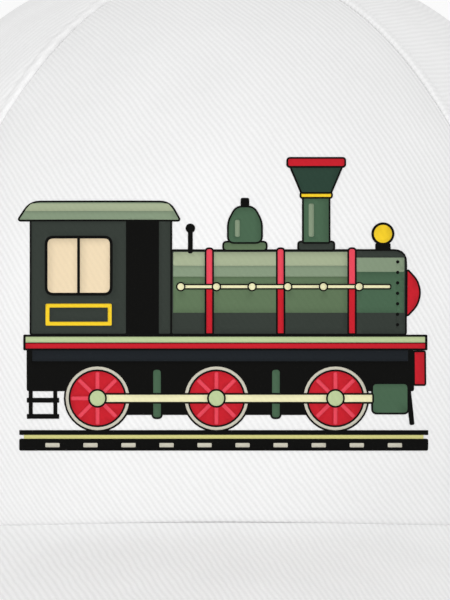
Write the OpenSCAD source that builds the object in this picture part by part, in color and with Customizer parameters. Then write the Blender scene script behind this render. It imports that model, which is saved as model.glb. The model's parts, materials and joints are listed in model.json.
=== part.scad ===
// Baseball cap with a one-piece front panel, a bent brim and a strap with a flip clasp.
// The cap is modelled level, with its front towards -Y and the crown's lower edge at Z = 0.
// place() then tips it back until the brim's sides and the back edge stand on one plane.

/* [Crown] */
// Half of the crown's outer width at its lower edge
crown_half_w = 89; // [84:1:94]
// Half of the crown's outer length at its lower edge
crown_half_l = 104; // [99:1:109]
// Height of the crown above its lower edge
crown_h = 119; // [110:1:126]
// How full the dome is: 2 is a plain ellipse, more is squarer
dome_fullness = 2.4; // [2.2:0.05:2.5]
// How much fuller the front is than the side
front_fullness = 0.1; // [0:0.02:0.2]
// Thickness of a crown panel
panel_t = 1.4; // [1.0:0.1:1.8]

/* [Seams] */
// Angle from the front to the front seam, at the lower edge
front_seam_low = 61; // [58:1:64]
// Angle from the front to the front seam, at the top
front_seam_top = 53; // [50:1:60]
// How far the front seam bows forwards at half its height, in degrees
front_seam_bow = 9; // [0:1:10]
// Angle from the front to the rear seam
rear_seam = 120; // [116:1:124]
// Width of the tape sewn over each seam inside
tape_w = 11; // [8:1:14]

/* [Brim] */
// How far the brim reaches in front of the crown
brim_reach = 69; // [60:1:74]
// Radius that the brim is bent to from side to side
brim_bend_r = 160; // [140:5:200]
// Angle that the brim dips forwards
brim_dip = 7; // [5:1:11]
// Angle from the front to each end of the brim
brim_end = 66; // [65:1:69]
// Thickness of the brim with both of its covers
brim_t = 3.4; // [2.8:0.2:4]

/* [Back opening] */
// Half of the width of the arch over the strap
arch_half_w = 34; // [31:1:36]
// Height of the arch
arch_h = 49; // [42:1:52]

/* [Strap and clasp] */
// Width of the strap
strap_w = 18; // [16:1:20]
// Thickness of the strap
strap_t = 1.2; // [1:0.1:1.4]
// Height of the strap's lower edge above the crown's lower edge
strap_low = 2.6; // [2.4:0.2:4]
// Length of the clasp's tray along the strap
tray_l = 26; // [24:1:28]
// Radius of the lever's pivot pin
pin_r = 1.0; // [0.9:0.1:1.2]
// Angle that the lever is opened by, for a look at the clasp
lever_open = 0; // [0:5:120]

/* [Eyelets and button] */
// Radius of an eyelet's hole
eyelet_r = 2.2; // [1.8:0.1:2.8]
// Height of the eyelets above the lower edge
eyelet_z = 80; // [74:1:86]
// Radius of the covered button on top
button_r = 8.5; // [7.5:0.5:10]

/* [Hidden] */
$fn = 48;

// Each layer of the wall as [outer face, inner face], measured inwards from the crown's
// outer face. The layers lie a loose-cloth gap apart.
gap = 0.2;
tape_t = 0.5;
tab_layer_t = 0.6;
sweat_t = 1.0;
function layer(from, t) = [from + gap, from + gap + t];
lining_in = layer(panel_t, tape_t);
tape_in = layer(lining_in[1], tape_t);
strap_in = layer(lining_in[1], strap_t);
tab_in = layer(strap_in[1] + gap, 2 * tab_layer_t);
sweat_in = layer(tab_in[1], sweat_t);
sweat_h = 29;
apex_hole_r = 3;

twill = "whitesmoke";
metal = "silver";

function mix(a, b, t) = a + (b - a) * t;

// ---- the crown's dome ----------------------------------------------------------------
// A superellipsoid: a is the angle round from the front, p runs from 0 at the lower edge to 90.
function fullness(a) = dome_fullness + front_fullness * cos(a);
function ring(a, p) = pow(cos(p), 2 / fullness(a));
function rise(a, p) = pow(sin(p), 2 / fullness(a));
function dome(a, p, inset = 0) =
    [(crown_half_w - inset) * ring(a, p) * sin(a),
     -(crown_half_l - inset) * ring(a, p) * cos(a),
     (crown_h - inset) * rise(a, p)];
function p_at_height(a, z, inset = 0) =
    asin(pow(max(z, 0) / (crown_h - inset), fullness(a) / 2));
function p_at_radius(a, r) = acos(pow(r / crown_half_w, fullness(a) / 2));
function dome_normal(a, p) =
    let (n = cross(dome(a + 1, p) - dome(a - 1, p), dome(a, p + 1) - dome(a, p - 1)))
    n / norm(n);

// The front seam leans in as it climbs, and bows forwards.
function front_seam(p) =
    let (t = p / 90) mix(front_seam_low, front_seam_top, t) - front_seam_bow * 4 * t * (1 - t);

// ---- the brim's surface --------------------------------------------------------------
function brim_bend(x) = brim_bend_r - sqrt(pow(brim_bend_r, 2) - x * x);
function brim_rise(x, y) = tan(brim_dip) * (-y - crown_half_l) + brim_bend(x);
brim_end_pt = dome(brim_end, 0);
brim_crest = brim_rise(brim_end_pt[0], brim_end_pt[1]);
function brim_z(x, y) = brim_crest - brim_rise(x, y);

// The crown's lower edge: just above the brim at the front, level elsewhere.
brim_gap = 0.7;
function edge_z(a) = let (q = dome(a, 0)) abs(a) < brim_end ? brim_z(q[0], q[1]) + brim_gap : 0;
function edge_p(a, inset = 0) = p_at_height(a, edge_z(a), inset);

// The brim's outer edge, from its right end (t = 0) to the front (t = 1), is one Bezier.
edge_start = [brim_end_pt[0] + 4, brim_end_pt[1] - 1];
edge_side = [crown_half_w + 13, -crown_half_l * 0.98];
edge_front = [crown_half_w * 0.78, -crown_half_l - brim_reach];
edge_tip = [0, -crown_half_l - brim_reach];
function bezier(t) =
    pow(1 - t, 3) * edge_start + 3 * pow(1 - t, 2) * t * edge_side
    + 3 * (1 - t) * t * t * edge_front + t * t * t * edge_tip;
function brim_outer(u) = let (q = bezier(1 - abs(u))) [sign(u) * q[0], q[1]];
function brim_inner(u) = let (q = dome(u * brim_end, 0, panel_t + 0.1)) [q[0], q[1]];
function brim_pt(u, w, drop) =
    let (q = mix(brim_inner(u), brim_outer(u), w)) [q[0], q[1], brim_z(q[0], q[1]) - drop];

// ---- a closed sheet between two grids of points --------------------------------------
// Rows of points run along the sheet, and the two grids lie on its two faces.
function flat_list(rows) = [for (row = rows) each row];
function cell(a, b, c, d) = [[a, b, c], [a, c, d]];
module sheet(outer, inner) {
    ni = len(outer);
    nj = len(outer[0]);
    n = ni * nj;
    function at(i, j, k = 0) = k * n + i * nj + j;
    polyhedron(
        points = concat(flat_list(outer), flat_list(inner)),
        faces = flat_list(concat(
            [for (i = [0 : ni - 2], j = [0 : nj - 2])
                cell(at(i, j), at(i, j + 1), at(i + 1, j + 1), at(i + 1, j))],
            [for (i = [0 : ni - 2], j = [0 : nj - 2])
                cell(at(i, j, 1), at(i + 1, j, 1), at(i + 1, j + 1, 1), at(i, j + 1, 1))],
            [for (i = [0 : ni - 2])
                cell(at(i, 0), at(i + 1, 0), at(i + 1, 0, 1), at(i, 0, 1))],
            [for (i = [0 : ni - 2])
                cell(at(i, nj - 1), at(i, nj - 1, 1), at(i + 1, nj - 1, 1), at(i + 1, nj - 1))],
            [for (j = [0 : nj - 2])
                cell(at(0, j), at(0, j, 1), at(0, j + 1, 1), at(0, j + 1))],
            [for (j = [0 : nj - 2])
                cell(at(ni - 1, j), at(ni - 1, j + 1), at(ni - 1, j + 1, 1), at(ni - 1, j, 1))]
        )),
        convexity = 6
    );
}

// ---- crown panels --------------------------------------------------------------------
panel_rows = 20;
top_p = p_at_radius(0, apex_hole_r);
seam_slit = 0.05; // half of the slit between two panels, in degrees

function front_grid(inset, columns, high_p) =
    [for (i = [0 : columns]) let (u = 2 * i / columns - 1)
        [for (j = [0 : panel_rows])
            let (p = mix(edge_p(u * front_seam_low, inset), high_p, j / panel_rows))
            dome(u * (front_seam(p) - seam_slit), p, inset)]];

module front_panel() {
    color(twill) sheet(front_grid(0, 30, top_p), front_grid(panel_t, 30, top_p));
}

function side_grid(inset, columns) =
    [for (i = [0 : columns]) let (u = i / columns)
        let (low = edge_p(mix(front_seam_low, rear_seam, u), inset))
        [for (j = [0 : panel_rows]) let (p = mix(low, top_p, j / panel_rows))
            dome(mix(front_seam(p) + seam_slit, rear_seam - seam_slit, u), p, inset)]];

module side_panel() {
    color(twill) difference() {
        sheet(side_grid(0, 14), side_grid(panel_t, 14));
        eyelet_at(eyelet_angles[0]) cylinder(r = eyelet_r + 0.4, h = 8, center = true);
    }
}

foot_a = 180 - asin(arch_half_w / crown_half_w);
// A back panel's lower edge is level as far as the arch's foot, and then follows the arch.
foot_u = 0.5;
function arch_point(g, grow) = [(arch_half_w + grow) * cos(g), (arch_h + grow) * sin(g)];
function arch_a(q, inset) =
    let (p = p_at_height(170, q[1], inset))
    180 - asin(q[0] / ((crown_half_w - inset) * ring(170, p)));
function back_low(u, inset) =
    u < foot_u ? [mix(rear_seam, foot_a, u / foot_u), 0]
    : let (q = arch_point(90 * (u - foot_u) / (1 - foot_u), 0))
      [arch_a(q, inset), p_at_height(170, q[1], inset)];
function back_grid(inset, columns) =
    [for (i = [0 : columns]) let (u = i / columns, low = back_low(u, inset))
        let (low_a = min(max(low[0], rear_seam + seam_slit), 180 - seam_slit))
        let (top_a = mix(rear_seam + seam_slit, 180 - seam_slit, u))
        [for (j = [0 : panel_rows])
            dome(mix(low_a, top_a, j / panel_rows), mix(low[1], top_p, j / panel_rows), inset)]];

module back_panel() {
    color(twill) difference() {
        sheet(back_grid(0, 16), back_grid(panel_t, 16));
        eyelet_at(eyelet_angles[1]) cylinder(r = eyelet_r + 0.4, h = 8, center = true);
    }
}

module left() {
    mirror([1, 0, 0]) children();
}

// ---- what is sewn inside the crown ---------------------------------------------------
// Stiff lining behind the front panel.
module front_lining() {
    lining_top = p_at_radius(0, 16);
    color("white")
        sheet(front_grid(lining_in[0], 24, lining_top), front_grid(lining_in[1], 24, lining_top));
}

// One tape over each seam, narrowing where the five meet.
function tape_half_deg(a, p) =
    min(tape_w / 2 / (crown_half_w * max(ring(a, p), 0.02)) * 180 / PI, 24);
function tape_grid(kind, inset) =
    let (low_z = kind == "centre" ? arch_h + 2 : 1)
    [for (side = [-1 : 1])
        [for (j = [0 : panel_rows])
            let (guess = kind == "front" ? front_seam_low : kind == "rear" ? rear_seam : 180)
            let (low_p = p_at_height(guess, max(low_z, edge_z(guess) + 1), inset))
            let (p = mix(low_p, p_at_radius(0, 8.5), j / panel_rows))
            let (a = kind == "front" ? front_seam(p) : guess)
            dome(a + side * tape_half_deg(a, p), p, inset)]];
module tape(kind) {
    sheet(tape_grid(kind, tape_in[0]), tape_grid(kind, tape_in[1]));
}
module seam_tapes() {
    color("white") {
        for (kind = ["front", "rear"]) {
            tape(kind);
            left() tape(kind);
        }
        tape("centre");
    }
}

// Tape behind the edge of the arch.
function arch_tape_grid(inset) =
    [for (grow = [1, 9])
        [for (i = [0 : 24]) let (g = 2 + 176 * i / 24, q = arch_point(g, grow))
            let (a = arch_a([abs(q[0]), q[1]], inset))
            dome(180 - sign(q[0]) * (180 - a), p_at_height(170, q[1], inset), inset)]];
module arch_tape() {
    color("white") sheet(arch_tape_grid(lining_in[0]), arch_tape_grid(lining_in[1]));
}

// The sweatband runs round inside the lower edge, from one end of the arch to the other.
sweat_end = foot_a - 5;
function sweat_low(a) = max(0.4, edge_z(a) - brim_t + 0.4);
function sweat_grid(inset) =
    [for (i = [0 : 56]) let (a = sweat_end * (2 * i / 56 - 1))
        [for (j = [0 : 2]) dome(a, p_at_height(a, sweat_low(a) + sweat_h * j / 2, inset), inset)]];
module sweatband() {
    color("white") sheet(sweat_grid(sweat_in[0]), sweat_grid(sweat_in[1]));
}

// Blank care label, sewn in under the sweatband and lying against a back panel.
label_a = 134;
label_w_deg = 12;
label_z = [sweat_h - 6, sweat_h + 20];
function label_grid(inset) =
    [for (i = [0 : 3]) let (a = label_a + label_w_deg * (i / 3 - 0.5))
        [for (j = [0 : 4])
            dome(a, p_at_height(a, mix(label_z[0], label_z[1], j / 4), inset), inset)]];
module care_label() {
    color("white") left() sheet(label_grid(tape_in[1] + gap), label_grid(tape_in[1] + 2 * gap));
}

// ---- button and eyelets --------------------------------------------------------------
button_h = 4.6;
button_dome_r = 11;
module button() {
    color(twill) translate([0, 0, crown_h + gap]) rotate_extrude() intersection() {
        square([button_r, button_h]);
        translate([0, button_h - button_dome_r]) circle(r = button_dome_r);
    }
}

rivet_top = crown_h - tape_in[1] - 0.6;
module button_rivet() {
    color(metal) {
        translate([0, 0, rivet_top - 1]) cylinder(r = 7, h = 1);
        translate([0, 0, rivet_top - 0.1]) cylinder(r = 1.6, h = crown_h + gap - rivet_top + 0.1);
    }
}

eyelet_angles = [(front_seam_low + rear_seam) / 2, (rear_seam + 180) / 2];
module eyelet_at(a) {
    p = p_at_height(a, eyelet_z);
    n = dome_normal(a, p);
    translate(dome(a, p) - n * panel_t / 2)
        rotate([0, acos(n[2]), atan2(n[1], n[0])]) children();
}
module eyelet() {
    rotate_extrude() translate([eyelet_r, 0]) intersection() {
        translate([0, -panel_t / 2 - 0.5]) square([2.4, panel_t + 1]);
        translate([1.2, 0]) circle(r = 1.45);
    }
}
module eyelets() {
    color(twill) for (a = eyelet_angles) {
        eyelet_at(a) eyelet();
        left() eyelet_at(a) eyelet();
    }
}

// ---- brim ----------------------------------------------------------------------------
brim_rings = 6;
brim_columns = 40;
cover_slit = 0.02; // half of the slit between the brim's two covers
function brim_grid(drop) =
    [for (i = [0 : brim_columns]) let (u = 2 * i / brim_columns - 1)
        [for (j = [0 : brim_rings]) brim_pt(u, j / brim_rings, drop)]];
module brim_top() {
    color(twill) sheet(brim_grid(0), brim_grid(brim_t / 2 - cover_slit));
}
module brim_underside() {
    color(twill) sheet(brim_grid(brim_t / 2 + cover_slit), brim_grid(brim_t));
}

// ---- strap ---------------------------------------------------------------------------
// In the window the strap leaves the crown's curve and runs flat behind the clasp's lever.
strap_z = [strap_low, strap_low + strap_w];
strap_far = 52;
flat_half = tray_l / 2 + 1;
bend_from = arch_half_w - 2;
function wall_a(inset, z) = (crown_half_w - inset) * ring(180, p_at_height(180, z, inset));
function wall_b(inset, z) = (crown_half_l - inset) * ring(180, p_at_height(180, z, inset));
function wall_y(x, inset, z) = wall_b(inset, z) * sqrt(1 - pow(x / wall_a(inset, z), 2));
function wall_slope(x, inset, z) =
    wall_b(inset, z) * x / pow(wall_a(inset, z), 2) / sqrt(1 - pow(x / wall_a(inset, z), 2));
function strap_bow(inset, z) =
    (bend_from - flat_half) / 2 * wall_slope(bend_from, inset, z);
function strap_y(x, inset, z) =
    let (s = abs(x), t = max(s - flat_half, 0) / (bend_from - flat_half))
    s > bend_from ? wall_y(s, inset, z)
    : wall_y(bend_from, inset, z) + strap_bow(inset, z) * (1 - t * t);
function ribbon(from, to, steps, inset) =
    [for (i = [0 : steps]) let (x = mix(from, to, i / steps))
        [for (z = strap_z) [x, strap_y(x, inset, z), z]]];
module strap() {
    color(twill)
        sheet(ribbon(strap_far, -strap_far, 40, strap_in[0]),
              ribbon(strap_far, -strap_far, 40, strap_in[1]));
}

// ---- clasp ---------------------------------------------------------------------------
// Everything here is drawn in the clasp's own frame: X along the strap, Y out from the head,
// Z across the strap, with Y = 0 on the strap's outer face. clasp_at() puts it in its place.
plate_t = 0.9;
cheek_t = 1.5;
cheek_r = 3;
cheek_in = strap_w / 2 + 0.3;
pivot_x = -tray_l / 2 + 3;
pivot_y = 2.0;
plate_y = -strap_t - 0.1 - plate_t;
bar_step = 0.8;
slot_x = [tray_l / 2 + 0.6, tray_l / 2 + 3.2];
bar_l = 2;
clasp_mid_z = (strap_z[0] + strap_z[1]) / 2;
clasp_low_y = strap_y(0, strap_in[0], strap_z[0]);
clasp_high_y = strap_y(0, strap_in[0], strap_z[1]);
clasp_lean = atan2(clasp_low_y - clasp_high_y, strap_w);
module clasp_at() {
    translate([0, (clasp_low_y + clasp_high_y) / 2, clasp_mid_z]) rotate([clasp_lean, 0, 0])
        children();
}

// Cheek seen from the side: low along the tray, high round the pivot.
module cheek_outline() {
    difference() {
        union() {
            translate([-tray_l / 2, plate_y]) square([tray_l, -plate_y + 0.6]);
            translate([-tray_l / 2, plate_y]) square([6, pivot_y - plate_y]);
            translate([pivot_x, pivot_y]) circle(r = cheek_r);
        }
        translate([pivot_x, pivot_y]) circle(r = pin_r + 0.05);
    }
}
module clasp_tray() {
    color(metal) clasp_at() {
        for (side = [0, 1]) mirror([0, 0, side])
            translate([0, 0, cheek_in]) linear_extrude(cheek_t) cheek_outline();
        translate([-tray_l / 2, plate_y, -cheek_in - 0.1])
            cube([tray_l, plate_t, 2 * cheek_in + 0.2]);
        tray_end();
    }
}
// The tray steps inwards beyond the strap, round the slot that holds the tab.
module tray_end() {
    end_x = slot_x[1] + bar_l;
    half = cheek_in + cheek_t;
    difference() {
        translate([tray_l / 2 - 1.2, plate_y - bar_step, -half])
            cube([end_x - tray_l / 2 + 1.2, plate_t, 2 * half]);
        translate([slot_x[0], plate_y - 3, -cheek_in]) cube([slot_x[1] - slot_x[0], 6, 2 * cheek_in]);
    }
}

// The lever is a plate on a cam, with a pin at each end and a lip to lift it by.
lever_half = cheek_in - 0.25;
lever_t = 1.0;
lever_l = tray_l - 4;
cam_r = 1.85;
module lever_outline() {
    translate([pivot_x, pivot_y]) circle(r = cam_r);
    translate([pivot_x, pivot_y + cam_r - lever_t]) square([lever_l, lever_t]);
    translate([pivot_x + lever_l - 1, pivot_y + cam_r - lever_t - 0.8]) square([1, 1.2]);
    translate([pivot_x + lever_l * 0.45, pivot_y + cam_r - lever_t - 0.6]) square([1, 0.9]);
}
module clasp_lever() {
    color(metal) clasp_at()
        translate([pivot_x, pivot_y, 0]) rotate([0, 0, lever_open]) translate([-pivot_x, -pivot_y, 0]) {
            translate([0, 0, -lever_half]) linear_extrude(2 * lever_half) lever_outline();
            translate([pivot_x, pivot_y, -cheek_in - cheek_t + 0.1])
                cylinder(r = pin_r, h = 2 * (cheek_in + cheek_t - 0.1));
        }
}

// Fabric tab: two layers from the sweatband's end, looped round the tray's bar.
tab_half = strap_w / 2 - 0.5;
bar_x = [slot_x[1], slot_x[1] + bar_l];
bar_y = plate_y - bar_step;
tab_far = 50;
function tab_line(depth) =
    [for (i = [0 : 14]) let (x = mix(bar_x[1] + 5, tab_far, i / 14))
        [x, strap_y(x, tab_in[0] + depth, clasp_mid_z) - (clasp_low_y + clasp_high_y) / 2]];
function arc(c, r, from, to, steps) =
    [for (i = [0 : steps]) let (g = mix(from, to, i / steps)) c + r * [cos(g), sin(g)]];
module clasp_tab() {
    centre = [bar_x[0], bar_y + plate_t / 2];
    eye = plate_t / 2 + 0.12;
    outer_face = tab_line(0);
    split = tab_line(tab_layer_t);
    inner_face = tab_line(2 * tab_layer_t);
    color(twill) clasp_at() translate([0, 0, -tab_half]) linear_extrude(2 * tab_half)
        difference() {
            polygon(concat(arc(centre, eye + tab_layer_t, 270, 90, 10), outer_face,
                           [for (i = [len(inner_face) - 1 : -1 : 0]) inner_face[i]]));
            polygon(concat(arc(centre, eye, 270, 90, 10),
                           [[bar_x[1] + 0.3, bar_y + plate_t + 0.12], split[0],
                            [bar_x[1] + 0.3, bar_y - 0.12]]));
        }
}

// ---- how the cap stands --------------------------------------------------------------
// It rests on the brim's two sides and on the feet of the arch, and is centred on its box.
foot = dome(foot_a, 0);
brim_rim = [for (u = [0 : 0.02 : 1]) brim_pt(u, 1, brim_t)];
rest_tilt = max([for (q = brim_rim) atan2(-q[2], foot[1] - q[1])]);
rest_lift = foot[1] * sin(rest_tilt);
function tipped_y(q) = q[1] * cos(rest_tilt) + q[2] * sin(rest_tilt);
clasp_back = [0, (clasp_low_y + clasp_high_y) / 2 + pivot_y + cheek_r, clasp_mid_z + cheek_in + cheek_t];
rest_shift = -(tipped_y(clasp_back) + min([for (q = brim_rim) tipped_y(q)])) / 2;
module place() {
    translate([0, rest_shift, rest_lift]) rotate([-rest_tilt, 0, 0]) children();
}

place() front_panel();
place() side_panel();  // side_panel_right
place() left() side_panel();  // side_panel_left
place() back_panel();  // back_panel_right
place() left() back_panel();  // back_panel_left
place() front_lining();
place() seam_tapes();
place() arch_tape();
place() sweatband();
place() care_label();
place() button();
place() button_rivet();
place() eyelets();
place() brim_top();
place() brim_underside();
place() strap();
place() clasp_tab();
place() clasp_tray();
place() clasp_lever();
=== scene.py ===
"""A baseball cap in white cotton twill, put together in the order in which a cap is sewn."""

import json
import math

import bpy
import numpy as np
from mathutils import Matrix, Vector
from mathutils.geometry import delaunay_2d_cdt


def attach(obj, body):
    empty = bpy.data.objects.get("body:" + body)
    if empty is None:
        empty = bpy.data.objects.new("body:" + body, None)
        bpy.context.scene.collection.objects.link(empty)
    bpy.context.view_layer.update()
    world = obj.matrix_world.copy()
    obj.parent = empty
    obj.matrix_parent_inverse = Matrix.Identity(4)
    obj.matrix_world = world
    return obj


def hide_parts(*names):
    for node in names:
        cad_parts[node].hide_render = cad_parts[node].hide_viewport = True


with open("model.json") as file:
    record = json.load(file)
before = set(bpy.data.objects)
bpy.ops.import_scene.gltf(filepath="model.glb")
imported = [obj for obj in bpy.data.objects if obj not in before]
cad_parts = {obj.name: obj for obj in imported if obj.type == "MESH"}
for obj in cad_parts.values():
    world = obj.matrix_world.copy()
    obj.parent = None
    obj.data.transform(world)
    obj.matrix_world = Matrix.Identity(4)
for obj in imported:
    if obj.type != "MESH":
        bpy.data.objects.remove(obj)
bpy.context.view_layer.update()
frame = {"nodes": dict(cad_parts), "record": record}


# ---- the block -----------------------------------------------------------------------
# A cap is steamed on a block, a hard dome that gives the panels one smooth shape. The cap is
# worked out level, in metres, with its front towards -Y, and stand() then tips it on its brim.
HALF_W, HALF_L, HIGH = 0.089, 0.104, 0.119
SIDE_FULLNESS, FRONT_FULLNESS = 2.4, 0.1
QUARTER = math.pi / 2
head_opening = next(m for m in frame["record"]["mounts"] if m["name"] == "head_opening")
stands_at, points_down = np.array(head_opening["pos_m"]), np.array(head_opening["axis"])


def stand(points):
    """Points of the level cap as it stands: turned about X until down is points_down, and moved."""
    x, y, z = np.moveaxis(np.asarray(points, float), -1, 0)
    sine, cosine = -points_down[1], -points_down[2]
    return np.stack([x, y * cosine + z * sine, z * cosine - y * sine], -1) + stands_at


def fullness(a):
    """How square the dome is at angle a: 2.4 at the sides, and 0.1 more in front or less behind."""
    return SIDE_FULLNESS + FRONT_FULLNESS * np.cos(a)


def ring(a, p):
    """Share of the dome's width at climb p: cos p to the power of 2 over the fullness."""
    return np.clip(np.cos(p), 0, 1) ** (2 / fullness(a))


def dome(a, p):
    """Outer face of the crown. a turns from the front, p climbs from 0 to a quarter turn:
    x = W ring sin a, y = -L ring cos a, z = H (sin p) ^ (2 / fullness)."""
    x, y = HALF_W * ring(a, p) * np.sin(a), -HALF_L * ring(a, p) * np.cos(a)
    return np.stack([x, y, HIGH * np.clip(np.sin(p), 0, 1) ** (2 / fullness(a))], -1)


def dome_normal(points):
    """Outward normals: the gradient of ((x/W)^2 + (y/L)^2)^(n/2) + (z/H)^n, made one long."""
    x, y, z = np.moveaxis(points, -1, 0)
    n = fullness(np.arctan2(x / HALF_W, -y / HALF_L))
    plan = np.maximum((x / HALF_W) ** 2 + (y / HALF_L) ** 2, 1e-9) ** (n / 2 - 1)
    up = np.maximum(z, 0) ** (n - 1) / HIGH ** n
    g = np.stack([plan * x / HALF_W ** 2, plan * y / HALF_L ** 2, up], -1)
    return g / np.linalg.norm(g, axis=-1, keepdims=True)


def climb_at(a, z):
    """Climb p at height z, the inverse of dome's z."""
    return np.arcsin((np.maximum(z, 0) / HIGH) ** (fullness(a) / 2))


def climb_in(radius):
    """Climb p at which the dome has closed in to a radius round its top."""
    return math.acos((radius / HALF_W) ** (SIDE_FULLNESS / 2))


# ---- camera, light and floor ---------------------------------------------------------
# A long lens looks slightly down at the front panel, close in. The light is a white tent with
# broad lamps in front and behind. The floor is white, and clear where it is seen from below.
BEND_R, DIP, BRIM_END = 0.160, math.radians(7), math.radians(66)


def brim_drop(x, y):
    """How far the brim's top is under its crest: the dip forwards plus the bend to the sides."""
    return math.tan(DIP) * (-y - HALF_L) + BEND_R - np.sqrt(BEND_R ** 2 - x ** 2)


brim_corner = dome(BRIM_END, 0.0)
brim_crest = brim_drop(brim_corner[0], brim_corner[1])

VIEW_DOWN, VIEW_FROM, AIM_UP = math.radians(13), 0.9, 0.0472
seam_middle = np.array([0, -HALF_L, brim_crest])
view_ahead = np.array([0, math.cos(VIEW_DOWN), -math.sin(VIEW_DOWN)])
view_up = np.array([0, math.sin(VIEW_DOWN), math.cos(VIEW_DOWN)])
camera = bpy.data.objects.new("camera", bpy.data.cameras.new("camera"))
camera.data.lens = 256.5
camera.data.clip_start = 0.01
camera.location = stand(seam_middle + view_up * AIM_UP - view_ahead * VIEW_FROM)
ahead = stand(view_ahead) - stand(np.zeros(3))
camera.rotation_euler = Vector(ahead).to_track_quat("-Z", "Y").to_euler()
bpy.context.scene.collection.objects.link(camera)
bpy.context.scene.camera = camera
bpy.context.scene.view_settings.view_transform = "Standard"


def node_of(tree, kind, links=(), **settings):
    """A shader node with its settings. links gives a socket or a value for each input it names."""
    node = tree.nodes.new("ShaderNode" + kind)
    for key, value in settings.items():
        setattr(node, key, value)
    for key, value in dict(links).items():
        if isinstance(value, bpy.types.NodeSocket):
            tree.links.new(value, node.inputs[key])
        else:
            node.inputs[key].default_value = value
    return node


def new_material(name, constants):
    """A material with these values on its shader's own sockets."""
    made = bpy.data.materials.new(name)
    made.use_nodes = True
    for key, value in constants.items():
        made.node_tree.nodes["Principled BSDF"].inputs[key].default_value = value
    return made


sky = bpy.data.worlds.new("tent")
sky.use_nodes = True
sky.node_tree.nodes["Background"].inputs["Color"].default_value = (1, 1, 1, 1)
sky.node_tree.nodes["Background"].inputs["Strength"].default_value = 0.61
bpy.context.scene.world = sky


def lamp(name, place, size, watts):
    """A square lamp of that size at place, turned to the cap's middle."""
    light = bpy.data.lights.new(name, "AREA")
    light.size, light.energy = size, watts
    holder = bpy.data.objects.new(name, light)
    holder.location = place
    holder.rotation_euler = (Vector((0, 0, 0.06)) - Vector(place)).to_track_quat("-Z", "Y").to_euler()
    bpy.context.scene.collection.objects.link(holder)


lamp("lamp_right", (0.85, -1.2, 1.1), 0.7, 8.9)
lamp("lamp_left", (-1.1, -1.1, 0.6), 1.0, 7.6)
lamp("lamp_back", (0.2, 1.3, 1.2), 1.2, 5)

floor_half = 4.0
floor_mesh = bpy.data.meshes.new("floor")
floor_mesh.from_pydata([(-floor_half, -floor_half, 0), (floor_half, -floor_half, 0),
                        (floor_half, floor_half, 0), (-floor_half, floor_half, 0)], [], [(0, 1, 2, 3)])
floor = bpy.data.objects.new("floor", floor_mesh)
floor_paint = new_material("floor_paint", {"Base Color": (0.93, 0.93, 0.93, 1), "Roughness": 0.9,
                                           "Emission Color": (1, 1, 1, 1), "Emission Strength": 0.12})
floor_tree = floor_paint.node_tree
floor_side = node_of(floor_tree, "NewGeometry").outputs["Backfacing"]
floor_top = floor_tree.nodes["Principled BSDF"].outputs[0]
floor_back = node_of(floor_tree, "BsdfTransparent").outputs[0]
floor_mix = node_of(floor_tree, "MixShader", {0: floor_side, 1: floor_top, 2: floor_back})
floor_tree.links.new(floor_mix.outputs[0], floor_tree.nodes["Material Output"].inputs[0])
floor_mesh.materials.append(floor_paint)
bpy.context.scene.collection.objects.link(floor)


# ---- front panel ---------------------------------------------------------------------
# One wide panel of white cotton twill, cut on the bias so that its ribs slant, and backed with
# stiff lining so that it stands smooth. Its edges are turned in where it meets its neighbours.
MM = 0.001
CLOTH_T, INSIDE, THINNEST, FOLD_SHARE = 1.4 * MM, 1.55 * MM, 0.15 * MM, 0.93
SEAM_LOW, SEAM_TOP, SEAM_BOW = math.radians(61), math.radians(53), math.radians(9)
REAR_SEAM = math.radians(120)
BUTTON_HOLE = 3 * MM
FRONT_RIPPLE, FRONT_DIP, SEAM_SOFT, BRIM_SOFT = 0.10 * MM, 0.62 * MM, 3.2 * MM, 1.1 * MM
EYELET_RIM = 0.7 * MM
RIB_PITCH, RIB_SLANT = 1.17 * MM, math.radians(55)
white = (0.89, 0.89, 0.89)


def mix(a, b, t):
    """The value t of the way from a to b."""
    return a + (b - a) * t


def ease(x, low, high):
    """0 below low, 1 above high, and 3t^2 - 2t^3 in between."""
    t = np.clip((x - low) / (high - low), 0, 1)
    return t * t * (3 - 2 * t)


def steps(count, near=0.012):
    """0 to 1 in even steps, with seven closer ones at each end, where cloth turns over an edge."""
    close = near * np.array([0, 0.04, 0.12, 0.25, 0.42, 0.62, 0.82])
    return np.concatenate([close, np.linspace(near, 1 - near, count), 1 - close[::-1]])


def front_seam(p):
    """Angle of the front seam: it leans in by 8 degrees as it climbs, and bows forwards by 9."""
    t = p / QUARTER
    return mix(SEAM_LOW, SEAM_TOP, t) - SEAM_BOW * 4 * t * (1 - t)


def crown_edge(a):
    """Height of the crown's lower edge: on the brim at the front, level elsewhere."""
    q = dome(a, 0.0)
    on_brim = brim_crest - brim_drop(q[..., 0], q[..., 1])
    return np.where(np.abs(a) < BRIM_END, on_brim + 0.22 * MM, 0)


def turn(a, p):
    """Metres round the crown for each unit of angle at (a, p)."""
    return ring(a, p) * np.hypot(HALF_W * np.cos(a), HALF_L * np.sin(a))


def ripple(points, seed):
    """Soft unevenness of cloth, from -1 to 1: a sum of ten slanting waves 14 to 60 mm long."""
    draw = np.random.default_rng(seed)
    way = draw.normal(size=(10, 3))
    way /= np.linalg.norm(way, axis=1, keepdims=True)
    way *= 2 * math.pi / draw.uniform(14 * MM, 60 * MM, (10, 1))
    return np.sin(points @ way.T + draw.uniform(0, 2 * math.pi, 10)).sum(-1) / 10 ** 0.5 / 1.5


def fold(d, thickness):
    """How far each face of a turned edge draws in at distance d: FOLD_SHARE of a quarter circle."""
    r = thickness / 2
    return r * (1 - np.sqrt(np.clip(1 - (1 - np.clip(d / r, 0, 1)) ** 2, 0, 1))) * FOLD_SHARE


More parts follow.
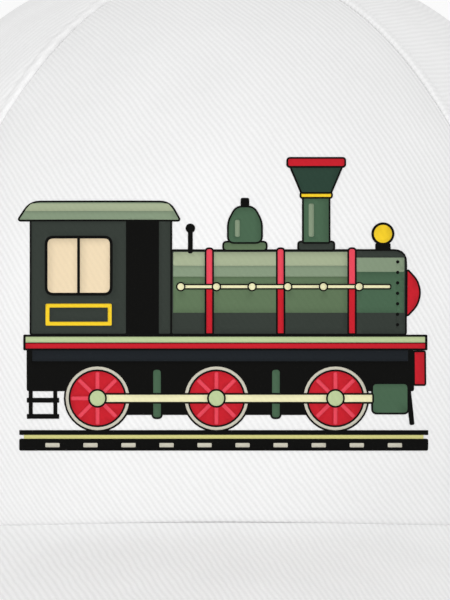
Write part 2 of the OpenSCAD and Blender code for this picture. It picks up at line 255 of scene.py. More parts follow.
def grid_quads(rows, columns, first=0):
    """The quads of a grid of points, row after row."""
    i, j = np.meshgrid(np.arange(rows - 1), np.arange(columns - 1), indexing="ij")
    at = first + i * columns + j
    return np.stack([at, at + columns, at + columns + 1, at + 1], -1).reshape(-1, 4)


def rim_of(faces):
    """Start and end of each edge that only one of the faces has, in that face's direction."""
    start, end = faces.ravel(), np.roll(faces, -1, 1).ravel()
    size = faces.max() + 1
    alone = ~np.isin(start * size + end, end * size + start)
    return start[alone], end[alone]


def closed_sheet(outer, inner, kept=None):
    """Points and quads of the closed sheet between two grids: the kept quads of both, and a wall
    along every rim, round a hole too."""
    rows, columns = outer.shape[:2]
    count = rows * columns
    quads = grid_quads(rows, columns)
    if kept is not None:
        quads = quads[kept.ravel()]
    start, end = rim_of(quads)
    walls = np.stack([end, start, start + count, end + count], -1)
    return (np.concatenate([outer.reshape(-1, 3), inner.reshape(-1, 3)]),
            np.concatenate([quads, quads[:, ::-1] + count, walls]))


def sew(name, points, faces, material, slot, cloth=None):
    """Makes a smooth piece of the cap from level points and faces, with its outside out. cloth gives
    each point's place along and across the cloth, in metres, as the map "cloth"."""
    points = stand(points)
    faces = np.asarray(faces)
    a, b, c = (points[faces[:, k]] for k in range(3))
    d = points[faces[:, -1]]
    volume = (np.cross(a, b) * c).sum() + (np.cross(a, c) * d).sum()
    if volume < 0:
        faces = faces[:, ::-1]
    mesh = bpy.data.meshes.new(name)
    mesh.from_pydata(points.tolist(), [], faces.tolist())
    mesh.polygons.foreach_set("use_smooth", np.ones(len(mesh.polygons), bool))
    if cloth is not None:
        corner = np.zeros(len(mesh.loops), np.int32)
        mesh.loops.foreach_get("vertex_index", corner)
        layer = mesh.uv_layers.new(name="cloth")
        layer.data.foreach_set("uv", np.asarray(cloth, np.float32).reshape(-1, 2)[corner].ravel())
    mesh.materials.append(material)
    mesh.update()
    piece = bpy.data.objects.new(name, mesh)
    bpy.context.scene.collection.objects.link(piece)
    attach(piece, "cap")
    return piece


def sewn_sheet(name, outer, inner, cloth, look, node, kept=None):
    points, quads = closed_sheet(outer, inner, kept)
    piece = sew(name, points, quads, *look, np.tile(cloth.reshape(-1, 2), (2, 1)))
    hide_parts(node)


turn_table = np.radians(np.linspace(0, 180, 721))
turn_run = np.concatenate([[0], np.cumsum(turn(turn_table, 0.0)[1:] * np.diff(turn_table))])
climb_table = np.linspace(0, QUARTER, 721)
climb_run = np.concatenate([[0], np.cumsum(np.linalg.norm(np.diff(
    dome(np.full(721, 0.5), climb_table), axis=0), axis=1))])


def crown_cloth(a, p):
    """Place on the cloth: metres round from the front at that height, and metres up the dome."""
    across = np.sign(a) * np.interp(np.abs(a), turn_table, turn_run) * ring(a, p)
    return np.stack([across, np.interp(p, climb_table, climb_run)], -1)


def front_cloth_place(a, p):
    """Place on the front panel's cloth, which was cut flat: metres aside along a level arc, and the
    mean of the climb and of the way up the middle to the point's turn about X."""
    x, y, z = np.moveaxis(dome(a, p), -1, 0)
    up_middle = np.interp(np.arctan2(z / HIGH, -y / HALF_L), climb_table, climb_run)
    up = (np.interp(p, climb_table, climb_run) + up_middle) / 2
    return np.stack([HALF_W * np.arcsin(np.clip(x / HALF_W, -1, 1)), up], -1)


def calc(tree, operation, *values):
    """The result of a Math node on two or three values."""
    return node_of(tree, "Math", dict(enumerate(values)), operation=operation).outputs[0]


def times(tree, vector, factor):
    """A vector or colour times a factor."""
    return node_of(tree, "VectorMath", {0: vector, "Scale": factor}, operation="SCALE").outputs[0]


def noise(tree, vector, scale, detail):
    """Noise from 0 to 1 at a place."""
    return node_of(tree, "TexNoise", {"Vector": vector, "Scale": scale, "Detail": detail}).outputs[0]


def span(tree, value, low, high, start=0.0, end=1.0):
    """A value carried from start and end to low and high."""
    return node_of(tree, "MapRange", {"Value": value, "From Min": start, "From Max": end,
                                      "To Min": low, "To Max": high}).outputs[0]


def dye(made, colour, shade, height, strength, depth):
    """Gives a material its colour times its shade, and the relief of height."""
    tree, skin = made.node_tree, made.node_tree.nodes["Principled BSDF"]
    bump = node_of(tree, "Bump", {"Height": height, "Strength": strength, "Distance": depth})
    tree.links.new(times(tree, colour, shade), skin.inputs["Base Color"])
    tree.links.new(bump.outputs[0], skin.inputs["Normal"])
    return made


def weave_group(name, inputs, build):
    """A node group for a weave, with the given inputs. build adds its nodes and returns the sockets
    of its Height, the cloth's relief, and Shade, its light and dark."""
    group = bpy.data.node_groups.new(name, "ShaderNodeTree")
    group.interface.new_socket("Cloth", in_out="INPUT", socket_type="NodeSocketVector")
    for key, value in inputs.items():
        group.interface.new_socket(key, in_out="INPUT", socket_type="NodeSocketFloat").default_value = value
    for key in ("Height", "Shade"):
        group.interface.new_socket(key, in_out="OUTPUT", socket_type="NodeSocketFloat")
    enter, leave = group.nodes.new("NodeGroupInput"), group.nodes.new("NodeGroupOutput")
    for key, made in zip(("Height", "Shade"), build(group, enter.outputs)):
        group.links.new(made, leave.inputs[key])
    return group


def build_twill(tree, given):
    """Turns the cloth by the slant, bends it a little with noise, and takes a cosine across the
    ribs and one along their floats, which step by a third from rib to rib."""
    turned = node_of(tree, "VectorRotate", {"Vector": given["Cloth"], "Angle": given["Slant"]},
                     rotation_type="Z_AXIS").outputs[0]
    scaled = times(tree, turned, given["Ribs per metre"])
    wander = span(tree, noise(tree, scaled, 0.22, 2.0), -1.0, 1.0)
    parts = node_of(tree, "SeparateXYZ", {0: scaled}).outputs
    place = calc(tree, "ADD", parts["Y"], calc(tree, "MULTIPLY", wander, given["Looseness"]))
    rib = calc(tree, "COSINE", calc(tree, "MULTIPLY", place, 2 * math.pi))
    float_place = calc(tree, "MULTIPLY_ADD", calc(tree, "FLOOR", place), 0.34, parts["X"])
    yarn = calc(tree, "COSINE", calc(tree, "MULTIPLY", float_place, 2 * math.pi * 1.3))
    with_yarn = calc(tree, "MULTIPLY_ADD", yarn, 0.09, span(tree, rib, 0.0, 1.0, -1.0))
    height = calc(tree, "MULTIPLY_ADD", noise(tree, scaled, 2.2, 3.0), 0.3, with_yarn)
    return height, span(tree, height, 0.0, 1.0, 0.1, 1.15)


twill_group = weave_group("twill_weave", {"Slant": RIB_SLANT, "Ribs per metre": 1 / RIB_PITCH,
                                          "Looseness": 0.35}, build_twill)


def twill(name, colour, shadow, pitch=RIB_PITCH, slant=RIB_SLANT, depth=0.16 * MM, strength=0.42):
    """Cotton twill: the weave shades the colour down to shadow times it and lifts the surface,
    broad patches vary it a little as washed cotton does, and a soft sheen lies over it."""
    made = new_material(name, {"Roughness": 0.92, "Specular IOR Level": 0.2, "Sheen Weight": 0.12,
                               "Sheen Roughness": 0.5})
    tree = made.node_tree
    cloth = node_of(tree, "UVMap", uv_map="cloth").outputs[0]
    weave = node_of(tree, "Group", {"Cloth": cloth, "Slant": slant, "Ribs per metre": 1 / pitch},
                    node_tree=twill_group).outputs
    clouds = noise(tree, node_of(tree, "TexCoord").outputs["Object"], 45.0, 4.0)
    # tone is the cotton's random broad patches times painted shade, which darkens the colour in the weave's
    # hollows down to shadow.
    tone = calc(tree, "MULTIPLY", span(tree, clouds, 0.965, 1.0, 0.3, 0.7),
                span(tree, weave["Shade"], shadow, 1.0))
    return dye(made, colour, tone, weave["Height"], strength, depth)


def front_relief(a, p, points):
    """How far the front panel stands proud of the block: a faint ripple, falling in to the side
    seams over 3 mm and rounding under at the brim."""
    to_seam = (front_seam(p) - np.abs(a)) * turn(a, p)
    to_brim = points[..., 2] - crown_edge(a)
    return (FRONT_RIPPLE * ripple(points, 4) - FRONT_DIP * np.exp(-np.maximum(to_seam, 0) / SEAM_SOFT)
            - FRONT_DIP * np.exp(-np.maximum(to_brim, 0) / BRIM_SOFT))


def inward(points, depth):
    """The points moved into the crown by depth, along its normals."""
    return points - dome_normal(points) * np.asarray(depth)[..., None]


def panel(name, a, p, relief, edge, material, node, turned, hole_turn=None, place=crown_cloth):
    """A crown panel: its outer face is the block plus the relief, its inner face lies CLOTH_T
    under that but not deeper than INSIDE, and both draw together at the edge, as turned cloth
    does, down to THINNEST. It has a vent hole, which the eyelet's thread covers, if hole_turn gives
    its angle. turned is the thickness that is turned in."""
    base = dome(a, p)
    up = relief(a, p, base)
    tuck = fold(edge(a, p, base), turned)
    under = np.minimum(CLOTH_T - up, INSIDE) - tuck
    outer, inner = inward(base, np.minimum(tuck - up, under - THINNEST)), inward(base, under)
    kept = None
    if hole_turn is not None:
        hole = dome(np.sign(a[0, 0]) * hole_turn, climb_at(hole_turn, EYELET_HEIGHT))
        middles = (base[:-1, :-1] + base[1:, 1:]) / 2
        kept = np.linalg.norm(middles - hole, axis=-1) > EYELET_HOLE + EYELET_RIM
    sewn_sheet(name, outer, inner, place(a, p), (material, "white_twill"), node,
               kept)


def front_edge(a, p, base):
    """Distance to the nearest edge of the front panel."""
    return np.minimum((front_seam(p) - np.abs(a)) * turn(a, p), base[..., 2] - crown_edge(a))


# The front panel's white is 0.87, a little darker than the 0.89 of the other panels: painted shade, standing
# in for the shade that falls on the front panel's top.
front_cloth = twill("front_twill_painted_shade", (0.87, 0.87, 0.87), 0.915)
u = (2 * steps(150) - 1)[:, None]
low = climb_at(u * SEAM_LOW, crown_edge(u * SEAM_LOW))
p = mix(low, climb_in(BUTTON_HOLE), steps(120)[None, :])
panel("front_panel_cloth", u * front_seam(p), p, front_relief, front_edge, front_cloth, "front_panel",
      0.4 * CLOTH_T, place=front_cloth_place)


# ---- printed picture -----------------------------------------------------------------
# Ink lies on the front panel as a thin film, laid on colour by colour. The picture is a small
# steam locomotive seen from the side, drawn in millimetres from the middle of its ground line.
PICTURE_UP = 15.5
PICTURE_ASIDE = -0.3
FILM_LOW, FILM_HIGH = 0.03 * MM, 0.11 * MM
LINE = 0.38
ink_colours = {"black": "0D0D0C", "soot": "1E2226", "slate": "353B36", "pine": "2C4237", "fern": "48644D",
               "moss": "5D7255", "sage": "82937A", "pale_sage": "A1AC8E", "lime": "B8C898", "red": "C2212D",
               "rose": "E4495A", "cream": "E8E4B8", "sand": "E8D4B2", "stone": "C8C4B4",
               "yellow": "F2CC2C", "straw": "CFCB84"}
picture = []


def rounded(points, radius):
    """An outline with its corners rounded: a parabola from radius before each corner to radius after."""
    q = np.asarray(points, float)
    back, on = np.roll(q, 1, 0) - q, np.roll(q, -1, 0) - q
    back_far, on_far = np.linalg.norm(back, axis=1), np.linalg.norm(on, axis=1)
    start = q + back * (np.minimum(radius, back_far * 0.45) / back_far)[:, None]
    end = q + on * (np.minimum(radius, on_far * 0.45) / on_far)[:, None]
    t = np.linspace(0, 1, 6)[None, :, None]
    curve = (1 - t) ** 2 * start[:, None] + 2 * (1 - t) * t * q[:, None] + t * t * end[:, None]
    return curve.reshape(-1, 2)


def box(x0, x1, y0, y1, radius=0.12):
    """A box with rounded corners."""
    return rounded([(x0, y0), (x1, y0), (x1, y1), (x0, y1)], radius)


def disc(x, y, r):
    """A round outline."""
    turned = np.linspace(0, 2 * math.pi, 36, endpoint=False)
    return np.stack([x + r * np.cos(turned), y + r * np.sin(turned)], -1)


def rod(x0, y0, x1, y1, width):
    """A straight rod with rounded ends."""
    along = np.array([x1 - x0, y1 - y0]) / math.hypot(x1 - x0, y1 - y0)
    side = np.array([-along[1], along[0]]) * width / 2
    a, b = np.array([x0, y0]), np.array([x1, y1])
    return rounded([a - side, b - side, b + side, a + side], width * 0.4)


def leftward(outline):
    """The outline run so that its inside is on the left."""
    x, y = outline.T
    return outline if (x * np.roll(y, -1) - np.roll(x, -1) * y).sum() > 0 else outline[::-1]


def grown(outline, by):
    """The outline moved outwards by a distance, along the mean normal at each point."""
    edge = np.roll(outline, -1, 0) - outline
    out = np.stack([edge[:, 1], -edge[:, 0]], -1) / np.linalg.norm(edge, axis=1, keepdims=True)
    mean = out + np.roll(out, 1, 0)
    return outline + by * mean / np.maximum((mean ** 2).sum(1, keepdims=True) / 2, 0.5)


def ink(name, outline, line=0.0):
    """Lays one colour on the picture, over a black outline of that width if it has one."""
    outline = leftward(outline)
    if line:
        picture.append(("black", grown(outline, line)))
    picture.append((name, outline))


# Track: a bed with evenly laid sleepers, and a rail on it.
RAIL_TOP, SLEEPER_STEP = 4.3, 8
ink("black", box(-43, 43, 0, 2.5, 0.4))
for place in range(-36, 37, SLEEPER_STEP):
    ink("stone", box(place - 1.5, place + 1.5, 0.7, 1.6, 0.2))
ink("straw", box(-42, 42, 2.5, 3.3))
ink("black", box(-43, 43, 3.3, RAIL_TOP))

# Frame, cab steps, guard iron, brake hangers and cylinder.
WHEEL_STEP, WHEEL_R = 25, 6.7
AXLE_UP = RAIL_TOP + WHEEL_R
wheel_places = [WHEEL_STEP * k - 1.5 for k in (-1, 0, 1)]
ink("black", box(-41.4, 40, 12.5, 21.5, 0.5))
ink("black", box(wheel_places[0], wheel_places[2], 7.5, 14))
ink("soot", box(-40.2, 38.8, 18.8, 21.3))
for place in (-40.6, -35.4):
    ink("black", rod(place, 15, place, 7, 0.8))
for height in (7.2, 10.6):
    ink("black", box(-41.4, -34.6, height - 0.5, height + 0.5))
ink("black", rod(38.8, 13, 39.6, 5.4, 1.0))
for place in (wheel_places[0] + WHEEL_STEP / 2, wheel_places[1] + WHEEL_STEP / 2):
    ink("fern", rod(place, 17, place, 7, 1.6), LINE)
ink("fern", box(31.4, 38.6, AXLE_UP - 3, AXLE_UP + 3, 0.8), LINE)

# Wheels with eight spokes, and the coupling rod.
for place in wheel_places:
    ink("stone", disc(place, AXLE_UP, WHEEL_R), LINE)
    ink("red", disc(place, AXLE_UP, WHEEL_R - 1), LINE)
    for spoke in np.radians(np.arange(0, 360, 45)):
        reach = (WHEEL_R - 1.2) * np.array([math.cos(spoke), math.sin(spoke)])
        ink("rose", rod(place, AXLE_UP, place + reach[0], AXLE_UP + reach[1], 0.8))
ink("cream", box(wheel_places[0] - 1, 31.2, AXLE_UP - 0.75, AXLE_UP + 0.75, 0.1), LINE)
for place in wheel_places:
    ink("lime", disc(place, AXLE_UP, 1.6), LINE)

# Running board and buffer beam.
ink("black", box(-42.1, 42.9, 21.1, 24.4, 0.3))
ink("lime", box(-41.6, 42.4, 22.75, 23.95))
ink("red", box(-41.6, 42.4, 21.5, 22.55))
ink("red", box(40.2, 42.2, 14, 20.7), LINE)

# Cab: doorway, side sheet, roof, a window with two panes and a lined panel under it.
ink("black", box(-20.5, -12.5, 24.4, 48.4, 0.2))
ink("slate", box(-40.4, -20.5, 24.6, 48.4, 0.3), LINE)
ink("slate", box(-13.6, -11.2, 24.6, 48.4, 0.3), LINE)
roof = [(-43, 48.6), (-9.4, 48.6), (-11.4, 52.2), (-40.6, 52.2)]
ink("sage", rounded(roof, np.array([0.3, 0.3, 2, 2])), LINE)
ink("pale_sage", rounded([(-41.9, 50.4), (-10.4, 50.4), (-11.6, 52), (-40.5, 52)], 0.5))
ink("sand", box(-37, -23.9, 33.2, 44.6, 1.2), 0.6)
ink("black", box(-30.75, -30.15, 33, 44.8))
ink("yellow", box(-37.4, -23.5, 26.3, 30.9, 0.3))
ink("slate", box(-36.6, -24.3, 27.1, 30.1, 0.2))

# Boiler, in four tones from a pale top to a dark belly, with a darker smokebox and its rivets.
BOILER_LOW, BOILER_TOP, BAND_STEP = 24.6, 42, 15
bands = [-3, -3 + BAND_STEP, -3 + 2 * BAND_STEP]
ink("slate", box(-10.8, bands[2], BOILER_LOW, BOILER_TOP, 0.3), LINE)
ink("moss", box(-10.6, bands[2], 29, 37, 0.05))
ink("sage", box(-10.6, bands[2], 36.6, 39.4, 0.05))
ink("pale_sage", box(-10.6, bands[2], 38.9, BOILER_TOP - 0.2, 0.3))
ink("slate", rounded([(bands[2], BOILER_LOW), (38.2, BOILER_LOW), (38.2, BOILER_TOP), (bands[2], BOILER_TOP)],
                     np.array([0.1, 0.3, 2.5, 0.1])), LINE)
ink("fern", box(bands[2] + 0.2, 38, 29, 38, 0.1))
ink("sage", box(bands[2] + 0.2, 38, 37.6, 40.6, 0.3))
for height in np.arange(26.5, 41, 2.2):
    ink("black", disc(36.6, height, 0.35))

# Dome, chimney, whistle and lamp, spaced like the bands.
dome_at, chimney_at, lamp_at = bands[0] + BAND_STEP / 2, bands[1] + BAND_STEP / 2, 33.5
ink("moss", box(dome_at - 4.4, dome_at + 4.4, 42.3, 43.8, 0.6), LINE)
ink("fern", rounded([(dome_at - 3.4, 43.9), (dome_at + 3.4, 43.9), (dome_at + 3.4, 48.2),
                     (dome_at + 1.8, 51.2), (dome_at - 1.8, 51.2), (dome_at - 3.4, 48.2)], 1.2), LINE)
ink("sage", box(dome_at - 2.1, dome_at - 1.1, 45, 48.6, 0.4))
ink("black", box(dome_at - 0.9, dome_at + 0.9, 51.2, 53.2, 0.4))
ink("slate", box(chimney_at - 3.6, chimney_at + 3.6, 42.3, 43.8, 0.4), LINE)
ink("fern", box(chimney_at - 2.6, chimney_at + 2.6, 43.9, 53.4, 0.1), LINE)
ink("sage", box(chimney_at - 1.6, chimney_at - 0.5, 45, 52, 0.4))
ink("yellow", box(chimney_at - 3.1, chimney_at + 3.1, 53.4, 54.1, 0.2), LINE)
ink("pine", rounded([(chimney_at - 3, 54.4), (chimney_at + 3, 54.4), (chimney_at + 5.2, 59.6),
                     (chimney_at - 5.2, 59.6)], 0.2), LINE)
ink("red", box(chimney_at - 5.9, chimney_at + 5.9, 59.9, 61.4, 0.4), LINE)
ink("black", rod(-7, 41.5, -7, 46.4, 1.0))
ink("black", disc(-7, 46.8, 1.0))
ink("black", box(lamp_at - 1.6, lamp_at + 1.6, 42.2, 43.6, 0.3))
ink("yellow", disc(lamp_at, 45.6, 1.9), 0.5)

# Bands, handrail with its knobs, and the smokebox door.
for place in bands:
    ink("rose", box(place - 0.6, place + 0.6, 33.5, 42.4, 0.5), LINE)
    ink("red", box(place - 0.6, place + 0.6, 24.7, 34, 0.1), LINE)
ink("cream", box(-9.5, 35, 34.2, 34.8, 0.2), 0.3)
for place in np.arange(-9, 35, BAND_STEP / 2):
    ink("cream", disc(place, 34.5, 0.7), 0.3)
ink("red", rounded([(38.7, 28.6), (40.6, 30.6), (41.3, 33.2), (40.6, 35.8), (38.7, 37.8)],
                   np.array([0.2, 1.2, 1.5, 1.2, 0.2])), LINE)


def laid_out(pictures, spacing=2.3):
    """Cuts the flat picture into triangles along every outline and a grid that lets it bend.
    Each triangle takes the colour that was laid over it last."""
    outlines = [outline for _, outline in pictures]
    ends = np.cumsum([len(outline) for outline in outlines])
    faces = [list(range(end - len(outline), end)) for outline, end in zip(outlines, ends)]
    low, high = np.concatenate(outlines).min(0) - 1, np.concatenate(outlines).max(0) + 1
    across, along = (np.arange(low[k], high[k], spacing) for k in (0, 1))
    rails = np.concatenate([np.stack([np.stack([across, across * 0 + low[1]], -1),
                                      np.stack([across, across * 0 + high[1]], -1)], 1),
                            np.stack([np.stack([along * 0 + low[0], along], -1),
                                      np.stack([along * 0 + high[0], along], -1)], 1)])
    points = np.concatenate([np.concatenate(outlines), rails.reshape(-1, 2)])
    edges = (ends[-1] + np.arange(2 * len(rails))).reshape(-1, 2)
    cut = delaunay_2d_cdt([Vector(q) for q in points], edges.tolist(), faces, 0, 1e-4)
    last = np.array([max(over) if over else -1 for over in cut[5]])
    inked = last >= 0
    return np.array([tuple(q) for q in cut[0]]), np.array(cut[2])[inked], last[inked]


def pressed(flat):
    """Carries points of the flat picture onto the block along lines from a point in front of it,
    halving forty times the stretch in which a line goes in. Returns the place, angle and climb."""
    eye = seam_middle + view_up * AIM_UP - view_ahead * VIEW_FROM
    on_plane = (seam_middle + (flat[:, :1] + PICTURE_ASIDE) * MM * np.array([1.0, 0, 0])
                + (flat[:, 1:] + PICTURE_UP) * MM * view_up)
    near, far = np.full(len(flat), 0.95), np.full(len(flat), 1.12)
    for _ in range(40):
        middle = (near + far) / 2
        x, y, z = (eye + (on_plane - eye) * middle[:, None]).T
        n = fullness(np.arctan2(x / HALF_W, -y / HALF_L))
        outside = ((x / HALF_W) ** 2 + (y / HALF_L) ** 2) ** (n / 2) + np.maximum(z / HIGH, 0) ** n > 1
        near, far = np.where(outside, middle, near), np.where(outside, far, middle)
    base = eye + (on_plane - eye) * near[:, None]
    a = np.arctan2(base[:, 0] / HALF_W, -base[:, 1] / HALF_L)
    return base, a, climb_at(a, base[:, 2])


def linear(code):
    """A colour code as linear light: each channel is ((c + 0.055) / 1.055) ^ 2.4."""
    channels = np.array([int(code[k:k + 2], 16) for k in (0, 2, 4)]) / 255
    return tuple(np.where(channels < 0.04, channels / 12.92, ((channels + 0.055) / 1.055) ** 2.4))


def ink_material(name, colour):
    """Printing ink on twill: flat colour that lets a little of the weave through, with a soft shine."""
    # The weave lets painted shade through as well: it darkens the ink down to 0.97 in the weave's hollows.
    made = twill(name, colour, 0.97, depth=0.05 * MM, strength=0.35)
    for key, value in {"Roughness": 0.8, "Specular IOR Level": 0.05, "Sheen Weight": 0}.items():
        made.node_tree.nodes["Principled BSDF"].inputs[key].default_value = value
    return made


flat_points, flat_faces, last_laid = laid_out(picture)
pressed_base, pressed_a, pressed_p = pressed(flat_points)
face_lift = front_relief(pressed_a, pressed_p, pressed_base)
film_cloth = front_cloth_place(pressed_a, pressed_p)
for name, code in ink_colours.items():
    mine = flat_faces[np.isin(last_laid, [k for k, (laid, _) in enumerate(picture) if laid == name])]
    used, faces = np.unique(mine, return_inverse=True)
    faces = faces.reshape(-1, 3)
    base, lift = pressed_base[used], face_lift[used]
    points = np.concatenate([inward(base, -lift - FILM_HIGH), inward(base, -lift - FILM_LOW)])
    start, end = rim_of(faces)
    count = len(used)
    walls = np.concatenate([np.stack([end, start, start + count], -1),
                            np.stack([end, start + count, end + count], -1)])
    faces = np.concatenate([faces, faces[:, ::-1] + count, walls])
    sew("print_" + name, points, faces, ink_material("ink_" + name, linear(code)), "print_ink",
        np.tile(film_cloth[used], (2, 1)))


# ---- side panels ---------------------------------------------------------------------
# Softer, unbacked panels of the same twill. Each is turned in over the front panel's edge, which
# makes a raised strip along the seam, and each has a vent hole near the top.
EYELET_HOLE, EYELET_HEIGHT = 2.2 * MM, 80 * MM
STRIP_W, STRIP_HIGH, SIDE_RIPPLE = 2.2 * MM, 0.38 * MM, 0.28 * MM
HEM_ROW, SEAM_ROW = 3.2 * MM, 3 * MM
GROOVE_W, GROOVE_DEEP = 0.8 * MM, 0.18 * MM
soft_cloth = {"right": twill("crown_twill_right", white, 0.94, slant=math.radians(8), strength=0.34),
              "left": twill("crown_twill_left", white, 0.94, slant=math.radians(-46), strength=0.34)}
eyelet_turns = {"side": (SEAM_LOW + REAR_SEAM) / 2, "back": (REAR_SEAM + math.pi) / 2}


def groove(d, at, width, depth):
    """A rounded groove of that depth, drawn in by a row of stitches at distance at from an edge."""
    return -depth * np.exp(-((d - at) / width) ** 2)


def tucked(d, along, depth=0.45 * MM):
    """A panel's face beside a plain seam: it falls into the seam, is drawn in by the stitches 3 mm
    from it, and puckers gently between them and the seam, every 6 mm along it."""
    pucker = 0.10 * MM * np.sin(2 * math.pi * along / (6 * MM)) * np.exp(-(d / (4 * MM)) ** 2)
    return -depth * np.exp(-np.maximum(d, 0) / (0.9 * MM)) + groove(d, SEAM_ROW, GROOVE_W, 0.2 * MM) + pucker


def side_relief(a, p, points):
    """A side panel's face: a raised rounded strip and a groove along the front seam, a plain rear
    seam, a groove over the lower edge, and soft ripples."""
    along = np.interp(p, climb_table, climb_run)
    to_front, to_rear = (np.abs(a) - front_seam(p)) * turn(a, p), (REAR_SEAM - np.abs(a)) * turn(a, p)
    strip = ease(to_front, 0, 0.5 * MM) * (1 - ease(to_front, STRIP_W - 0.6 * MM, STRIP_W + 0.3 * MM))
    near = np.exp(-((to_front - STRIP_W) / (3 * MM)) ** 2)
    pucker = 0.09 * MM * np.sin(2 * math.pi * along / (5 * MM)) * near
    hem = groove(points[..., 2] - crown_edge(a), HEM_ROW, GROOVE_W, GROOVE_DEEP)
    beside_strip = groove(to_front, STRIP_W + 0.5 * MM, 0.5 * MM, 0.2 * MM)
    return (SIDE_RIPPLE * ripple(points, 7) + STRIP_HIGH * strip + beside_strip + pucker
            + tucked(to_rear, along) + hem)


def side_edge(a, p, base):
    """Distance to the nearest edge of a side panel."""
    seams = np.minimum(np.abs(a) - front_seam(p), REAR_SEAM - np.abs(a)) * turn(a, p)
    return np.minimum(seams, base[..., 2] - crown_edge(a))


u = steps(96)[:, None]
low_turn = mix(SEAM_LOW, REAR_SEAM, u)
p = mix(climb_at(low_turn, crown_edge(low_turn)), climb_in(BUTTON_HOLE), steps(120)[None, :])
side_turn = mix(front_seam(p), REAR_SEAM, u)
for side, hand in ((1, "right"), (-1, "left")):
    panel("side_panel_cloth_" + hand, side * side_turn, p, side_relief, side_edge, soft_cloth[hand],
          "side_panel_" + hand, 0.6 * CLOTH_T, eyelet_turns["side"])


# ---- back panels ---------------------------------------------------------------------
# Two panels meet at the back over an arch that leaves room for the strap. The edge of the arch is
# turned in and stitched twice.
ARCH_HALF, ARCH_HIGH = 34 * MM, 49 * MM
ARCH_ROWS, ARCH_TURN = (2.2 * MM, 8 * MM), math.radians(170)


def arch_turn(x, p):
    """Angle round the crown of the point at distance x from the middle of the back and climb p, with
    the crown's fullness taken at ARCH_TURN."""
    return math.pi - np.arcsin(np.clip(x / (HALF_W * ring(ARCH_TURN, p)), 0, 1))


def to_arch(points):
    """Distance from the arch, an ellipse seen from behind: its implicit value over its gradient."""
    x, z = points[..., 0] / ARCH_HALF, points[..., 2] / ARCH_HIGH
    value = np.hypot(x, z)
    return (value - 1) * value / np.hypot(x / ARCH_HALF, z / ARCH_HIGH)


def back_relief(a, p, points):
    """A back panel's face: plain seams on both sides, grooves over the arch and the lower edge,
    and soft ripples."""
    along = np.interp(p, climb_table, climb_run)
    to_rear, to_middle = (np.abs(a) - REAR_SEAM) * turn(a, p), (math.pi - np.abs(a)) * turn(a, p)
    arch = sum(groove(to_arch(points), row, GROOVE_W, GROOVE_DEEP) for row in ARCH_ROWS)
    hem = groove(points[..., 2], HEM_ROW, GROOVE_W, GROOVE_DEEP) * ease(to_arch(points), 4 * MM, 8 * MM)
    return 0.26 * MM * ripple(points, 9) + tucked(to_rear, along) + tucked(to_middle, along) + arch + hem


def back_edge(a, p, base):
    """Distance to the nearest edge of a back panel."""
    seams = np.minimum(np.abs(a) - REAR_SEAM, math.pi - np.abs(a)) * turn(a, p)
    low = np.where(np.abs(base[..., 0]) > ARCH_HALF, np.maximum(base[..., 2], 0), to_arch(base))
    return np.minimum(seams, np.minimum(low, to_arch(base)))


foot_turn = math.pi - math.asin(ARCH_HALF / HALF_W)
u = steps(110)
rise_turn = QUARTER * np.clip(2 * u - 1, 0, 1)
low_p = climb_at(ARCH_TURN, ARCH_HIGH * np.sin(rise_turn))
on_arch = arch_turn(ARCH_HALF * np.cos(rise_turn), low_p)
low_turn = np.where(u < 0.5, mix(REAR_SEAM, foot_turn, 2 * u), on_arch)
climb = steps(120)[None, :]
p = mix(low_p[:, None], climb_in(BUTTON_HOLE), climb)
back_turn = mix(low_turn[:, None], mix(REAR_SEAM, math.pi, u)[:, None], climb)
for side, hand in ((1, "right"), (-1, "left")):
    panel("back_panel_cloth_" + hand, side * back_turn, p, back_relief, back_edge, soft_cloth[hand],
          "back_panel_" + hand, 0.6 * CLOTH_T, eyelet_turns["back"])


# ---- seam stitching ------------------------------------------------------------------
# Cotton thread in short lockstitches: a row on each side of every plain seam, two rows round the
# arch and one over the lower edge. Each stitch is a small arched capsule with its ends sunk in.
STITCH, STITCH_GAP, THREAD, THREAD_SIDES = 2.5 * MM, 0.7 * MM, 0.42 * MM, 6


def thread_material(name, colour):
    """Twisted cotton thread: fine slanting cords a quarter of a millimetre apart, with a low sheen, and
    painted shade that darkens the colour to 0.88 between the cords.
    """
    made = new_material(name, {"Roughness": 0.6, "Sheen Weight": 0.2})
    tree = made.node_tree
    twist = node_of(tree, "TexWave", {"Vector": node_of(tree, "TexCoord").outputs["Object"], "Scale": 900.0,
                                      "Distortion": 1.5}, bands_direction="DIAGONAL").outputs["Fac"]
    return dye(made, colour, span(tree, twist, 0.88, 1.0), twist, 0.4, 0.05 * MM)


